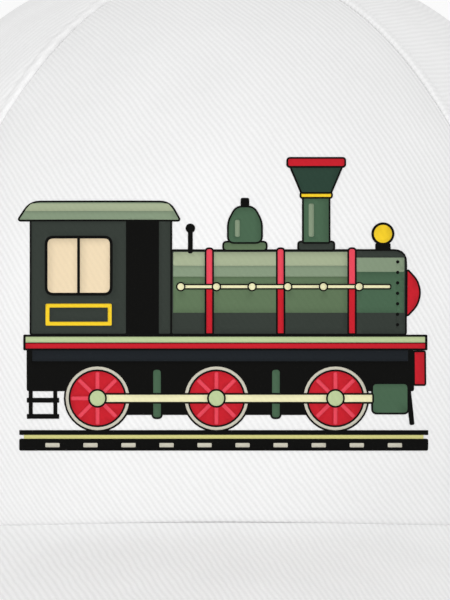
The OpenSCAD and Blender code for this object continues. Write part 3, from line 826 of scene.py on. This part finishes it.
def stitch_row(line, normals, length=STITCH, gap=STITCH_GAP, width=THREAD):
    """Stitches along a line of points on a surface: five rings of points round each stitch, whose
    radius is a flattened half circle along it, lifted by a sine and sunk at both ends."""
    run = np.concatenate([[0], np.cumsum(np.linalg.norm(np.diff(line, axis=0), axis=1))])
    count = int(run[-1] / (length + gap))
    begin = (np.arange(count) + 0.5) * run[-1] / count - length / 2
    t = np.array([0.0, 0.12, 0.5, 0.88, 1.0])
    s = begin[:, None] + length * t
    centre = np.stack([np.interp(s, run, line[:, k]) for k in range(3)], -1)
    up = np.stack([np.interp(s, run, normals[:, k]) for k in range(3)], -1)
    along = centre[:, -1:] - centre[:, :1]
    side = np.cross(along / np.linalg.norm(along, axis=-1, keepdims=True), up)
    radius = width / 2 * np.array([0.35, 0.85, 1.0, 0.85, 0.35])
    lift = width * (0.62 * np.sin(math.pi * t) - 0.12)
    g = np.linspace(0, 2 * math.pi, THREAD_SIDES, endpoint=False)
    rings = ((centre + up * lift[:, None])[:, :, None]
             + side[:, :, None] * (radius[:, None] * np.cos(g))[..., None]
             + up[:, :, None] * (radius[:, None] * 0.8 * np.sin(g))[..., None])
    last = (len(t) - 1) * THREAD_SIDES
    i, j = np.meshgrid(np.arange(0, last, THREAD_SIDES), np.arange(THREAD_SIDES), indexing="ij")
    j_on = (j + 1) % THREAD_SIDES
    around = np.stack([i + j, i + j_on, i + THREAD_SIDES + j_on, i + THREAD_SIDES + j], -1)
    far_cap = last + np.array([(0, 1, 2, 3), (0, 3, 4, 5)])
    one = np.concatenate([around.reshape(-1, 4), [(0, 3, 2, 1), (0, 5, 4, 3)], far_cap])
    starts = (last + THREAD_SIDES) * np.arange(count)[:, None, None]
    return rings.reshape(-1, 3), (one[None] + starts).reshape(-1, 4)


def sew_rows(name, rows, material):
    """Joins rows of stitches into one piece."""
    starts = np.cumsum([0] + [len(points) for points, _ in rows[:-1]])
    faces = np.concatenate([quads + start for (_, quads), start in zip(rows, starts)])
    return sew(name, np.concatenate([points for points, _ in rows]), faces, material, "white_thread")


def crown_row(a, p, relief):
    """A row of stitches on the crown along angles a and climbs p, on the face that relief gives."""
    base = dome(a, p)
    normals = dome_normal(base)
    return stitch_row(base + normals * relief(a, p, base)[:, None], normals)


def inner_row(line, deep):
    """A row of stitches on the inside of the crown, deep under a line on its outside."""
    normals = dome_normal(line)
    return stitch_row(line - normals * deep, -normals)


def beside(seam_turn, p, distance):
    """Angle at that distance from a seam, behind it where distance is positive."""
    return seam_turn + distance / np.maximum(turn(seam_turn, p), 1e-4)


cotton_thread = thread_material("cotton_thread", (0.88, 0.88, 0.87))
top_climb = climb_in(11 * MM)
rows = []
for side in (1, -1):
    p = np.linspace(climb_at(REAR_SEAM, 1 * MM), top_climb, 400)
    rows.append(crown_row(side * beside(REAR_SEAM, p, -SEAM_ROW), p, side_relief))
    rows.append(crown_row(side * beside(REAR_SEAM, p, SEAM_ROW), p, back_relief))
    p = np.linspace(climb_at(math.pi, ARCH_HIGH + 1.5 * MM), top_climb, 400)
    rows.append(crown_row(side * beside(math.pi, p, -SEAM_ROW), p, back_relief))
    a = np.linspace(BRIM_END + 0.01, REAR_SEAM - 0.01, 300)
    rows.append(crown_row(side * a, climb_at(a, HEM_ROW), side_relief))
    a = np.linspace(REAR_SEAM + 0.01, foot_turn - 0.1, 200)
    rows.append(crown_row(side * a, climb_at(a, HEM_ROW), back_relief))
    for row in ARCH_ROWS:
        g = np.linspace(math.radians(2), QUARTER - 0.02, 400)
        p = climb_at(ARCH_TURN, (ARCH_HIGH + row) * np.sin(g))
        rows.append(crown_row(side * arch_turn((ARCH_HALF + row) * np.cos(g), p), p, back_relief))
sew_rows("crown_stitches", rows, cotton_thread)


# ---- front lining --------------------------------------------------------------------
# Buckram, a stiff open cotton net, is caught in the seams behind the front panel and holds it up.
LINING_DEEP, LINING_T = 1.6 * MM, 0.5 * MM


def build_weave(tree, given):
    """Threads over and under each other: on the squares of a chequerboard by turns, a half sine
    across the thread that runs along the cloth, or across the one that runs up it."""
    scaled = times(tree, given["Cloth"], given["Threads per metre"])
    parts = node_of(tree, "SeparateXYZ", {0: scaled}).outputs
    along, upward = (calc(tree, "ABSOLUTE", calc(tree, "SINE", calc(tree, "MULTIPLY", parts[axis], math.pi)))
                     for axis in ("X", "Y"))
    squares = node_of(tree, "TexChecker", {"Vector": scaled, "Scale": 1.0}).outputs["Fac"]
    threads = span(tree, squares, along, upward)
    height = calc(tree, "MULTIPLY_ADD", noise(tree, scaled, 1.7, 2.0), 0.35, threads)
    return height, span(tree, height, 0.0, 1.0, 0.15, 1.1)


plain_group = weave_group("plain_weave", {"Threads per metre": 1000}, build_weave)


def woven(name, colour, shadow, thread, depth, roughness, sheen):
    """Plain-woven cloth: the weave shades the colour down to shadow times it between the threads,
    and lifts the surface by depth."""
    made = new_material(name, {"Roughness": roughness, "Specular IOR Level": 0.25, "Sheen Weight": sheen})
    tree = made.node_tree
    weave = node_of(tree, "Group", {"Cloth": node_of(tree, "UVMap", uv_map="cloth").outputs[0],
                                    "Threads per metre": 1 / thread}, node_tree=plain_group).outputs
    return dye(made, colour, span(tree, weave["Shade"], shadow, 1.0), weave["Height"], 0.6, depth)


def layer_inside(name, a, p, deep, thickness, edge, look, node):
    """A sheet inside the crown: its outer face lies deep under the block, its inner face a
    thickness further in, and both draw together at the edge."""
    base = dome(a, p)
    tuck = fold(edge, thickness)
    sewn_sheet(name, inward(base, deep + tuck), inward(base, deep + thickness - tuck), crown_cloth(a, p),
               look, node)


u = (2 * steps(70) - 1)[:, None]
low = climb_at(u * SEAM_LOW, crown_edge(u * SEAM_LOW) + 0.6 * MM)
p = mix(low, climb_in(16 * MM), steps(60)[None, :])
a = u * (front_seam(p) - 0.01)
buckram_look = woven("buckram_net", (0.80, 0.80, 0.77), 0.55, 0.75 * MM, 0.2 * MM, 0.85, 0.0), "buckram"
layer_inside("buckram_lining", a, p, LINING_DEEP, LINING_T, front_edge(a, p, dome(a, p)),
             buckram_look, "front_lining")


# ---- seam tapes ----------------------------------------------------------------------
# A woven cotton tape covers each seam inside and is sewn down along both of its edges. It arches
# over the seam's turnings, and the five tapes narrow as they run together under the button.
TAPE_HALF, TAPE_T, TAPE_DEEP = 5.5 * MM, 0.5 * MM, 2.3 * MM
TAPE_ROW = 4.2 * MM
tape_cloth = woven("tape_cloth", (0.84, 0.84, 0.83), 0.72, 0.38 * MM, 0.1 * MM, 0.8, 0.1)


def tape_turn(p, seam_turn, across):
    """Angle of a point of the tape at that share of its half width from the seam."""
    half = np.minimum(TAPE_HALF / (HALF_W * np.maximum(ring(seam_turn, p), 0.02)), math.radians(24))
    return seam_turn + across * half


def tape_deep(across, lined):
    """Depth of the tape's outer face: level with the seam's turnings in the middle, nearer the
    panels at its edges, and less so over the lining."""
    return TAPE_DEEP - 0.5 * MM * across ** 2 * np.where(lined, 0.25, 1.0)


across = (2 * steps(10, 0.06) - 1)[:, None]
climb = steps(110)[None, :]
tape_lines = [("front", 1), ("front", -1), ("rear", 1), ("rear", -1), ("centre", 1)]
tape_low = {"front": crown_edge(SEAM_LOW) + 1 * MM, "rear": 1 * MM, "centre": ARCH_HIGH + 2 * MM}
tape_points, tape_quads, tape_maps, tape_rows = [], [], [], []
for kind, side in tape_lines:
    p = mix(climb_at(QUARTER, tape_low[kind]), climb_in(8.5 * MM), climb)
    seam_turn = front_seam(p) if kind == "front" else REAR_SEAM if kind == "rear" else math.pi
    lined = (kind == "front") & (across < 0)
    a = side * tape_turn(p, seam_turn, across)
    base = dome(a, p)
    deep, tuck = tape_deep(across, lined), fold((1 - np.abs(across)) * TAPE_HALF, TAPE_T)
    points, quads = closed_sheet(inward(base, deep + tuck), inward(base, deep + TAPE_T - tuck))
    tape_quads.append(quads + sum(len(q) for q in tape_points))
    tape_points.append(points)
    cloth = np.stack(np.broadcast_arrays(across * TAPE_HALF, np.interp(p, climb_table, climb_run)), -1)
    tape_maps.append(np.tile(cloth.reshape(-1, 2), (2, 1)))
    for edge in (-1, 1):
        share = edge * TAPE_ROW / TAPE_HALF
        line_p = np.linspace(p[0, 0], climb_in(14 * MM), 300)
        line_seam = front_seam(line_p) if kind == "front" else seam_turn
        line = dome(side * tape_turn(line_p, line_seam, share), line_p)
        tape_rows.append(inner_row(line, tape_deep(share, kind == "front" and edge < 0) + TAPE_T))
tapes = sew("woven_seam_tapes", np.concatenate(tape_points), np.concatenate(tape_quads), tape_cloth,
            "seam_tape", np.concatenate(tape_maps))
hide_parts("seam_tapes")

# The same tape binds the arch, sewn down by the two rows that show outside.
BINDING = (1 * MM, 9 * MM)
sweep = np.radians(mix(2.0, 178.0, steps(120)))[:, None]
grow = mix(BINDING[0], BINDING[1], steps(10, 0.06))[None, :]
p = climb_at(ARCH_TURN, (ARCH_HIGH + grow) * np.sin(sweep))
side = np.sign(np.cos(sweep))
a = side * arch_turn(np.abs((ARCH_HALF + grow) * np.cos(sweep)), p)
a = np.where(side < 0, a + 2 * math.pi, a)
edge = np.broadcast_to(np.minimum(grow - BINDING[0], BINDING[1] - grow), a.shape)
layer_inside("arch_binding", a, p, LINING_DEEP, TAPE_T, edge, (tape_cloth, "seam_tape"), "arch_tape")
for row in ARCH_ROWS:
    g = np.linspace(math.radians(4), math.pi - math.radians(4), 600)
    line_p = climb_at(ARCH_TURN, (ARCH_HIGH + row) * np.sin(g))
    side = np.where(np.cos(g) < 0, -1, 1)
    line = dome(side * arch_turn(np.abs((ARCH_HALF + row) * np.cos(g)), line_p), line_p)
    tape_rows.append(inner_row(line, LINING_DEEP + TAPE_T))
sew_rows("tape_stitches", tape_rows, cotton_thread)


# ---- sweatband -----------------------------------------------------------------------
# A band of soft doubled cotton lies against the head. It is sewn to the crown's lower edge, turns
# up inside with a soft bend, and has a row of stitches near its top and near its bottom.
BAND_HIGH, BAND_T, BAND_DEEP, BAND_START, BAND_BEND = 29 * MM, 1 * MM, 5.8 * MM, 1.7 * MM, 1.6 * MM
BAND_TURN_T, BAND_TURN_SHARE = 0.6 * MM, 0.14
BRIM_T, BRIM_GAP, BAND_LIFT = 3.4 * MM, 0.7 * MM, 0.4 * MM
BAND_END = foot_turn - math.radians(5)
band_cloth = woven("sweatband_cotton", (0.85, 0.85, 0.84), 0.78, 0.45 * MM, 0.12 * MM, 0.9, 0.2)


def band_foot(a):
    """Height at which the band starts: just inside the brim's lower face in front, near 0 behind."""
    q = dome(a, 0.0)
    on_brim = brim_crest - brim_drop(q[..., 0], q[..., 1]) + BRIM_GAP - BRIM_T + BAND_LIFT
    return np.maximum(BAND_LIFT, np.where(np.abs(a) < BRIM_END, on_brim, 0))


def band_line(a, v):
    """Middle of the band's thickness at share v of its height: a quarter ellipse inwards and up
    from the crown's edge, then straight up."""
    bend = np.clip(v / BAND_TURN_SHARE, 0, 1) * QUARTER
    straight = np.clip((v - BAND_TURN_SHARE) / (1 - BAND_TURN_SHARE), 0, 1)
    deep = BAND_START + (BAND_DEEP - BAND_START) * np.sin(bend)
    high = band_foot(a) + BAND_BEND * (1 - np.cos(bend)) + (BAND_HIGH - BAND_BEND) * straight
    base = dome(a, climb_at(a, high))
    return inward(base, deep + 0.12 * MM * ripple(base, 12) * ease(v, 0.1, 0.4))


def band_normals(points):
    """Normals of a grid of points: across its two directions."""
    n = np.cross(np.gradient(points, axis=0), np.gradient(points, axis=1))
    return n / np.linalg.norm(n, axis=-1, keepdims=True)


a, v = mix(-BAND_END, BAND_END, steps(220, 0.006))[:, None], steps(34, 0.03)[None, :]
a, v = np.broadcast_arrays(a, v)
middle = band_line(a, v)
normals = band_normals(middle)
thick = mix(BAND_TURN_T, BAND_T, ease(v, 0.05, 0.2))
ends = np.minimum((BAND_END - np.abs(a)) * HALF_W, np.minimum(v, 1 - v) * BAND_HIGH)
half = (thick / 2 - fold(ends, BAND_T) * thick / BAND_T)[..., None]
cloth = np.stack([np.sign(a) * np.interp(np.abs(a), turn_table, turn_run), v * BAND_HIGH], -1)
sewn_sheet("sweatband_cotton", middle + normals * half, middle - normals * half, cloth,
           (band_cloth, "sweatband_cloth"), "sweatband")
rows = []
for share in (0.2, 0.9):
    line_a = np.linspace(-BAND_END + 0.03, BAND_END - 0.03, 1200)
    rows.append(inner_row(band_line(line_a, np.full(1200, share)), BAND_T / 2))
sew_rows("sweatband_stitches", rows, cotton_thread)


# ---- care label ----------------------------------------------------------------------
# A blank white satin label, caught in the sweatband's seam and lying up against the left side.
LABEL_TURN, LABEL_HALF, LABEL_LOW, LABEL_HIGH = math.radians(134), math.radians(6), 23 * MM, 49 * MM
LABEL_T, LABEL_DEEP = 0.22 * MM, 3 * MM
a = -LABEL_TURN + LABEL_HALF * (2 * steps(16, 0.04) - 1)[:, None]
share = steps(24, 0.03)[None, :]
p = climb_at(LABEL_TURN, mix(LABEL_LOW, LABEL_HIGH, share))
a, p, share = np.broadcast_arrays(a, p, share)
curl = 0.5 * MM * ease(share, 0.5, 1.0) + 0.15 * MM * np.sin(5 * share + 40 * a)
base = dome(a, p)
satin = woven("label_satin", (0.88, 0.88, 0.88), 0.9, 0.16 * MM, 0.02 * MM, 0.35, 0.3)
sewn_sheet("blank_label", inward(base, LABEL_DEEP + curl), inward(base, LABEL_DEEP + curl + LABEL_T),
           crown_cloth(a, p), (satin, "label_satin"), "care_label")


# ---- button --------------------------------------------------------------------------
# The button on top is a metal cap covered in the crown's twill, which is gathered under its rim.
# Its post goes through the crown, and a cupped nickel disc closes it inside.
BUTTON_R, BUTTON_HIGH, BUTTON_ROUND = 8.5 * MM, 4.6 * MM, 11 * MM
CROWN_TOP = HIGH + 0.2 * MM
DISC_TOP = HIGH - 3.4 * MM


def lathe(radii, heights, sides=64, wave=0.0, waves=0):
    """A closed round body from a profile that starts and ends on the axis. wave lifts the rings by
    a cosine with so many waves round, as gathers do, in proportion to how far out they are."""
    g = np.linspace(0, 2 * math.pi, sides, endpoint=False)
    r = radii[1:-1, None]
    z = heights[1:-1, None] + wave * np.cos(waves * g) * (r / radii.max()) ** 6
    rings = np.stack([r * np.cos(g), r * np.sin(g), z], -1)
    count = len(radii) - 2
    i, j = np.meshgrid(np.arange(count - 1) * sides, np.arange(sides), indexing="ij")
    j_on = (j + 1) % sides
    body = np.stack([i + j, i + sides + j, i + sides + j_on, i + j_on], -1)
    k, last, pole = np.arange(0, sides, 2), (count - 1) * sides, np.full(sides // 2, count * sides)
    top = np.stack([pole, k, (k + 1) % sides, (k + 2) % sides], -1)
    low = np.stack([pole + 1, last + (k + 2) % sides, last + (k + 1) % sides, last + k], -1)
    points = np.concatenate([rings.reshape(-1, 3), [[0, 0, heights[0]], [0, 0, heights[-1]]]])
    return points, np.concatenate([body.reshape(-1, 4), top, low])


out = np.linspace(0, 1, 24) ** 0.8 * (BUTTON_R - 0.3 * MM)
under = np.radians(np.linspace(40, -70, 8))
radii = np.concatenate([out, BUTTON_R - 0.75 * MM + 0.75 * MM * np.cos(under), [6 * MM, 3 * MM, 0]])
heights = np.concatenate([BUTTON_HIGH - BUTTON_ROUND + np.sqrt(BUTTON_ROUND ** 2 - out ** 2),
                          0.78 * MM + 0.7 * MM * np.sin(under), [0.08 * MM, 0.08 * MM, 0.08 * MM]])
points, quads = lathe(radii, CROWN_TOP + heights, 96, 0.05 * MM, 16)
button = sew("covered_button", points, quads, soft_cloth["right"], "white_twill", points[:, :2])
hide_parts("button")


def nickel_plate():
    """Nickel plate: fine brushing along X, faint cloudy tarnish, and edges eased by the stamping."""
    made = new_material("nickel_plate", {"Metallic": 1.0})
    tree = made.node_tree
    place = node_of(tree, "TexCoord").outputs["Object"]
    drawn_out = node_of(tree, "Mapping", {"Vector": place, "Scale": (60.0, 2600.0, 2600.0)}).outputs[0]
    brushed, clouds = noise(tree, drawn_out, 1.0, 3.0), noise(tree, place, 160.0, 4.0)
    rough = calc(tree, "MULTIPLY_ADD", clouds, 0.16, span(tree, brushed, 0.2, 0.38, 0.3, 0.7))
    colour = times(tree, (0.74, 0.72, 0.68), span(tree, clouds, 1.0, 0.86, 0.3, 0.75))
    eased = node_of(tree, "Bevel", {"Radius": 0.3 * MM}, samples=6).outputs[0]
    bump = node_of(tree, "Bump", {"Height": brushed, "Strength": 0.15, "Distance": 0.02 * MM,
                                  "Normal": eased})
    for socket, key in ((colour, "Base Color"), (rough, "Roughness"), (bump.outputs[0], "Normal")):
        tree.links.new(socket, tree.nodes["Principled BSDF"].inputs[key])
    return made


nickel = nickel_plate()
radii = MM * np.array([0, 1.6, 1.6, 1.9, 3.5, 5.4, 6.4, 6.85, 7.0, 6.85, 6.4, 5.4, 4.2, 3.4, 2.2, 0])
heights = MM * np.array([3.5, 3.5, 0.3, 0.0, 0.0, -0.1, -0.25, -0.4, -0.62, -0.85, -0.98, -0.9, -0.62,
                         -0.5, -0.45, -0.45])
points, quads = lathe(radii, DISC_TOP + heights)
rivet = sew("button_disc", points, quads, nickel, "nickel")
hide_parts("button_rivet")


# ---- eyelets -------------------------------------------------------------------------
# Four vent holes, each edged with a ring of close satin stitches that wraps the cloth from face
# to face.
EYELET_MIDDLE, EYELET_HALF, EYELET_DEEP, EYELET_STITCHES = 3.45 * MM, 1.2 * MM, 1.08 * MM, 30


def eyelet_ring(a, p):
    """A ring round the normal of the crown at (a, p): its section is an oval with flattened sides,
    and a rectified sine in the angle round the hole raises each stitch."""
    middle = dome(a, p)
    up = dome_normal(middle)
    aside = np.cross(up, [0, 0, 1.0])
    aside /= np.linalg.norm(aside)
    upward = np.cross(aside, up)
    sides, section = EYELET_STITCHES * 6, 16
    g, h = np.meshgrid(np.linspace(0, 2 * math.pi, sides, endpoint=False),
                       np.linspace(0, 2 * math.pi, section, endpoint=False), indexing="ij")
    raised = 0.1 * MM * np.abs(np.sin(EYELET_STITCHES * g / 2))
    out = EYELET_MIDDLE + (EYELET_HALF + raised) * np.sign(np.cos(h)) * np.abs(np.cos(h)) ** 0.8
    high = (EYELET_DEEP + raised) * np.sign(np.sin(h)) * np.abs(np.sin(h)) ** 0.8 - CLOTH_T / 2
    points = (middle + (out * np.cos(g))[..., None] * aside + (out * np.sin(g))[..., None] * upward
              + high[..., None] * up)
    i, j = np.meshgrid(np.arange(sides), np.arange(section), indexing="ij")
    i_on, j_on = (i + 1) % sides, (j + 1) % section
    quads = np.stack([i * section + j, i_on * section + j, i_on * section + j_on, i * section + j_on], -1)
    return points.reshape(-1, 3), quads.reshape(-1, 4)


rings = [eyelet_ring(side * eyelet_turns[kind], climb_at(eyelet_turns[kind], EYELET_HEIGHT))
         for kind in ("side", "back") for side in (1, -1)]
eyelets = sew_rows("stitched_eyelets", rings, cotton_thread)
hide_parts("eyelets")


# ---- brim ----------------------------------------------------------------------------
# A stiff core is covered with twill above and below. The covers are sewn together round the edge,
# turned right side out over the core, and held to it by rows of stitches that follow the edge.
BRIM_REACH, BRIM_INSET = 69 * MM, 1.5 * MM
BRIM_ROWS = (5 * MM, 11.5 * MM, 18 * MM)
HALF_BRIM, BRIM_END_RUN = 1.68 * MM, 120 * MM
rim_points = np.array([[brim_corner[0] + 4 * MM, brim_corner[1] - 1 * MM], [HALF_W + 13 * MM, -HALF_L * 0.98],
                       [HALF_W * 0.78, -HALF_L - BRIM_REACH], [0, -HALF_L - BRIM_REACH]])
# The brim's white is 0.935, lighter than the crown's 0.89: painted light, standing in for the light that
# falls on the brim from above. Its underside shares it.
brim_cloth = twill("brim_twill_painted_light", (0.935, 0.935, 0.935), 0.915, pitch=1.3 * MM, slant=math.radians(74))


def brim_middle(plan):
    """Height of the middle of the brim's thickness over places in plan."""
    return brim_crest - brim_drop(plan[..., 0], plan[..., 1]) - BRIM_T / 2


def brim_plan(u, w):
    """Place in plan: u runs from the left end (-1) to the right end (1), w from the crown (0) to the
    outer edge (1), which is a Bezier from each end to the front. Returns it and the reach at u."""
    t = (1 - np.abs(u))[..., None]
    a, b, c, d = rim_points
    rim = (1 - t) ** 3 * a + 3 * (1 - t) ** 2 * t * b + 3 * (1 - t) * t * t * c + t ** 3 * d
    rim = rim * np.stack([np.where(u < 0, -1, 1), np.ones_like(u)], -1)
    at = u * BRIM_END
    crown = np.stack([(HALF_W - BRIM_INSET) * np.sin(at), -(HALF_L - BRIM_INSET) * np.cos(at)], -1)
    return mix(crown, rim, w[..., None]), np.linalg.norm(rim - crown, axis=-1)


def brim_face(u, w, over):
    """A face of the brim: on the bent surface, raised by over, less the roll of its edge, a quarter
    circle, and the stitched grooves."""
    plan, reach = brim_plan(u, w)
    to_rim = np.minimum((1 - w) * reach, (1 - np.abs(u)) * BRIM_END_RUN)
    d = np.clip(to_rim / HALF_BRIM, 0, 1)
    roll = HALF_BRIM * (1 - np.sqrt(1 - (1 - d) ** 2))
    near_ends = ease(reach, 24 * MM, 34 * MM)
    rows = sum(groove(to_rim, row, 0.55 * MM, 0.22 * MM) for row in BRIM_ROWS) * near_ends
    flat = np.stack([plan[..., 0], plan[..., 1], 0 * u], -1)
    soft = (0.07 * MM * ripple(flat, 21) + rows) * ease(to_rim, 0, 3 * MM)
    up = over * (BRIM_T / 2 - roll + soft)
    return np.stack([plan[..., 0], plan[..., 1], brim_middle(plan) + up], -1)


u, w = np.broadcast_arrays((2 * steps(200, 0.006) - 1)[:, None], steps(90, 0.02)[None, :])
plan, _ = brim_plan(u, w)
for over, name, node in ((1, "brim_cover_top", "brim_top"), (-1, "brim_cover_under", "brim_underside")):
    inner = np.stack([plan[..., 0], plan[..., 1], brim_middle(plan) + over * 0.02 * MM], -1)
    sewn_sheet(name, brim_face(u, w, over), inner, plan, (brim_cloth, "white_twill"), node)

# Stitch rows of the brim, above and below.
rows = []
for over in (1, -1):
    for row in BRIM_ROWS:
        u = np.linspace(-0.93, 0.93, 1500)
        _, reach = brim_plan(u, np.ones_like(u))
        u, reach = u[reach > 26 * MM], reach[reach > 26 * MM]
        line = brim_face(u, 1 - row / reach, over)
        normals = np.tile([0.0, 0.0, float(over)], (len(line), 1))
        rows.append(stitch_row(line, normals))
sew_rows("brim_stitches", rows, cotton_thread)


# ---- strap ---------------------------------------------------------------------------
# A doubled twill strap sewn into the left back panel crosses the arch, runs through the clasp, and
# ends tucked inside the other panel. Its edges are turned in and stitched.
STRAP_LOW, STRAP_W, STRAP_FAR, STRAP_DEEP, STRAP_T = 2.6 * MM, 18 * MM, 52 * MM, 2.3 * MM, 1.2 * MM
TRAY_L = 26 * MM
FLAT_HALF, BEND_FROM = TRAY_L / 2 + 1 * MM, ARCH_HALF - 2 * MM
STRAP_ROW, STRAP_GROOVE = 2 * MM, 0.12 * MM


def wall_y(x, deep, z):
    """How far back the crown's wall is at x: an ellipse at that height, drawn in by deep."""
    n = SIDE_FULLNESS - FRONT_FULLNESS
    share = np.cos(np.arcsin((z / (HIGH - deep)) ** (n / 2))) ** (2 / n)
    wide, far = (HALF_W - deep) * share, (HALF_L - deep) * share
    return far * np.sqrt(1 - (x / wide) ** 2), far * x / wide ** 2 / np.sqrt(1 - (x / wide) ** 2)


def strap_y(x, deep, z):
    """The strap lies on the wall beyond the arch, bows out from it in a parabola inside the arch,
    and is flat in the clasp."""
    x = np.abs(x)
    at_bend, slope = wall_y(BEND_FROM, deep, z)
    t = np.clip((x - FLAT_HALF) / (BEND_FROM - FLAT_HALF), 0, 1)
    bowed = at_bend + (BEND_FROM - FLAT_HALF) / 2 * slope * (1 - t * t)
    return np.where(x > BEND_FROM, wall_y(np.minimum(x, STRAP_FAR + 1 * MM), deep, z)[0], bowed)


x, z = np.broadcast_arrays(mix(STRAP_FAR, -STRAP_FAR, steps(150))[:, None],
                           mix(STRAP_LOW, STRAP_LOW + STRAP_W, steps(34, 0.04))[None, :])
to_side = np.minimum(z - STRAP_LOW, STRAP_LOW + STRAP_W - z)
sunk = groove(to_side, STRAP_ROW, 0.4 * MM, STRAP_GROOVE)
tuck = fold(np.minimum(to_side, STRAP_FAR - np.abs(x)), STRAP_T) - sunk
outer = np.stack([x, strap_y(x, STRAP_DEEP, z) - tuck, z], -1)
inner = np.stack([x, strap_y(x, STRAP_DEEP + STRAP_T, z) + tuck, z], -1)
strap_look = twill("strap_twill", white, 0.84, pitch=0.8 * MM), "white_twill"
sewn_sheet("strap_twill", outer, inner, np.stack([x, z], -1), strap_look, "strap")
rows = []
line_x = np.linspace(STRAP_FAR - 1 * MM, -STRAP_FAR + 1 * MM, 600)
for row_z in (STRAP_LOW + STRAP_ROW, STRAP_LOW + STRAP_W - STRAP_ROW):
    for out, deep in ((1, STRAP_DEEP + STRAP_GROOVE), (-1, STRAP_DEEP + STRAP_T - STRAP_GROOVE)):
        line = np.stack([line_x, strap_y(line_x, deep, row_z), np.full(600, row_z)], -1)
        rows.append(stitch_row(line, np.tile([0.0, float(out), 0.0], (600, 1))))
sew_rows("strap_stitches", rows, cotton_thread)


# ---- clasp tab -----------------------------------------------------------------------
# A short strip of the same twill is looped round the clasp's bar, and its two layers are sewn
# together and into the right back panel.
TAB_HALF, TAB_LAYER, TAB_FAR, TAB_DEEP = 8.5 * MM, 0.6 * MM, 50 * MM, 3.9 * MM
PLATE_T, PLATE_Y, BAR_STEP, BAR_L = 0.9 * MM, -2.2 * MM, 0.8 * MM, 2 * MM
BAR_X, LOOP_GAP = TRAY_L / 2 + 3.2 * MM, 0.12 * MM
clasp_z = STRAP_LOW + STRAP_W / 2
low_y, high_y = (float(strap_y(0.0, STRAP_DEEP, z)) for z in (STRAP_LOW, STRAP_LOW + STRAP_W))
clasp_y, clasp_lean = (low_y + high_y) / 2, math.atan2(low_y - high_y, STRAP_W)


def at_clasp(points):
    """Points of the clasp's own frame, where Y points out from the head and Z across the strap,
    leant about X with the wall and moved to the middle of the strap's outer face."""
    x, y, z = np.moveaxis(points, -1, 0)
    sine, cosine = math.sin(clasp_lean), math.cos(clasp_lean)
    return np.stack([x, y * cosine - z * sine + clasp_y, y * sine + z * cosine + clasp_z], -1)


def tab_line(deep):
    """The tab's way from beyond the bar to its sewn end, at that depth."""
    x = np.linspace(BAR_X + BAR_L + 5 * MM, TAB_FAR, 40)
    return np.stack([x, strap_y(x, deep, clasp_z) - clasp_y], -1)


bar_middle = np.array([BAR_X, PLATE_Y - BAR_STEP + PLATE_T / 2])
round_bar = np.radians(np.linspace(90, 270, 20))
loop_r = PLATE_T / 2 + LOOP_GAP + TAB_LAYER / 2
loop = bar_middle + loop_r * np.stack([np.cos(round_bar), np.sin(round_bar)], -1)
route = np.concatenate([tab_line(TAB_DEEP + TAB_LAYER / 2)[::-1], loop, tab_line(TAB_DEEP + 1.5 * TAB_LAYER)])
run = np.concatenate([[0], np.cumsum(np.linalg.norm(np.diff(route, axis=0), axis=1))])
even = np.linspace(0, run[-1], 240)
route = np.stack([np.interp(even, run, route[:, k]) for k in (0, 1)], -1)
way = np.gradient(route, axis=0)
way /= np.linalg.norm(way, axis=1, keepdims=True)
out = np.stack([way[:, 1], -way[:, 0]], -1)
across = TAB_HALF * (2 * steps(24, 0.05) - 1)
to_end = np.minimum(even, even[-1] - even)[:, None]
thin = fold(np.minimum((TAB_HALF - np.abs(across))[None, :], to_end), TAB_LAYER)
half = (TAB_LAYER / 2 - 0.02 * MM - thin * 0.9)[..., None]


def tab_face(side):
    """One face of the tab: half a layer to one side of its middle line, carried across its width."""
    flat = route[:, None] + side * half * out[:, None]
    return at_clasp(np.concatenate([flat, np.broadcast_to(across[None, :, None], flat.shape[:2] + (1,))], -1))


cloth = np.stack(np.broadcast_arrays(even[:, None], across[None, :]), -1)
sewn_sheet("tab_twill", tab_face(1), tab_face(-1), cloth, strap_look, "clasp_tab")


# ---- clasp ---------------------------------------------------------------------------
# A stamped tray that the strap runs through, and a lever that turns on a pin and pinches the
# strap. Both are nickel-plated brass.
for node in ("clasp_tray", "clasp_lever"):
    part = frame["nodes"][node]
    part.data.materials.clear()
    part.data.materials.append(nickel)
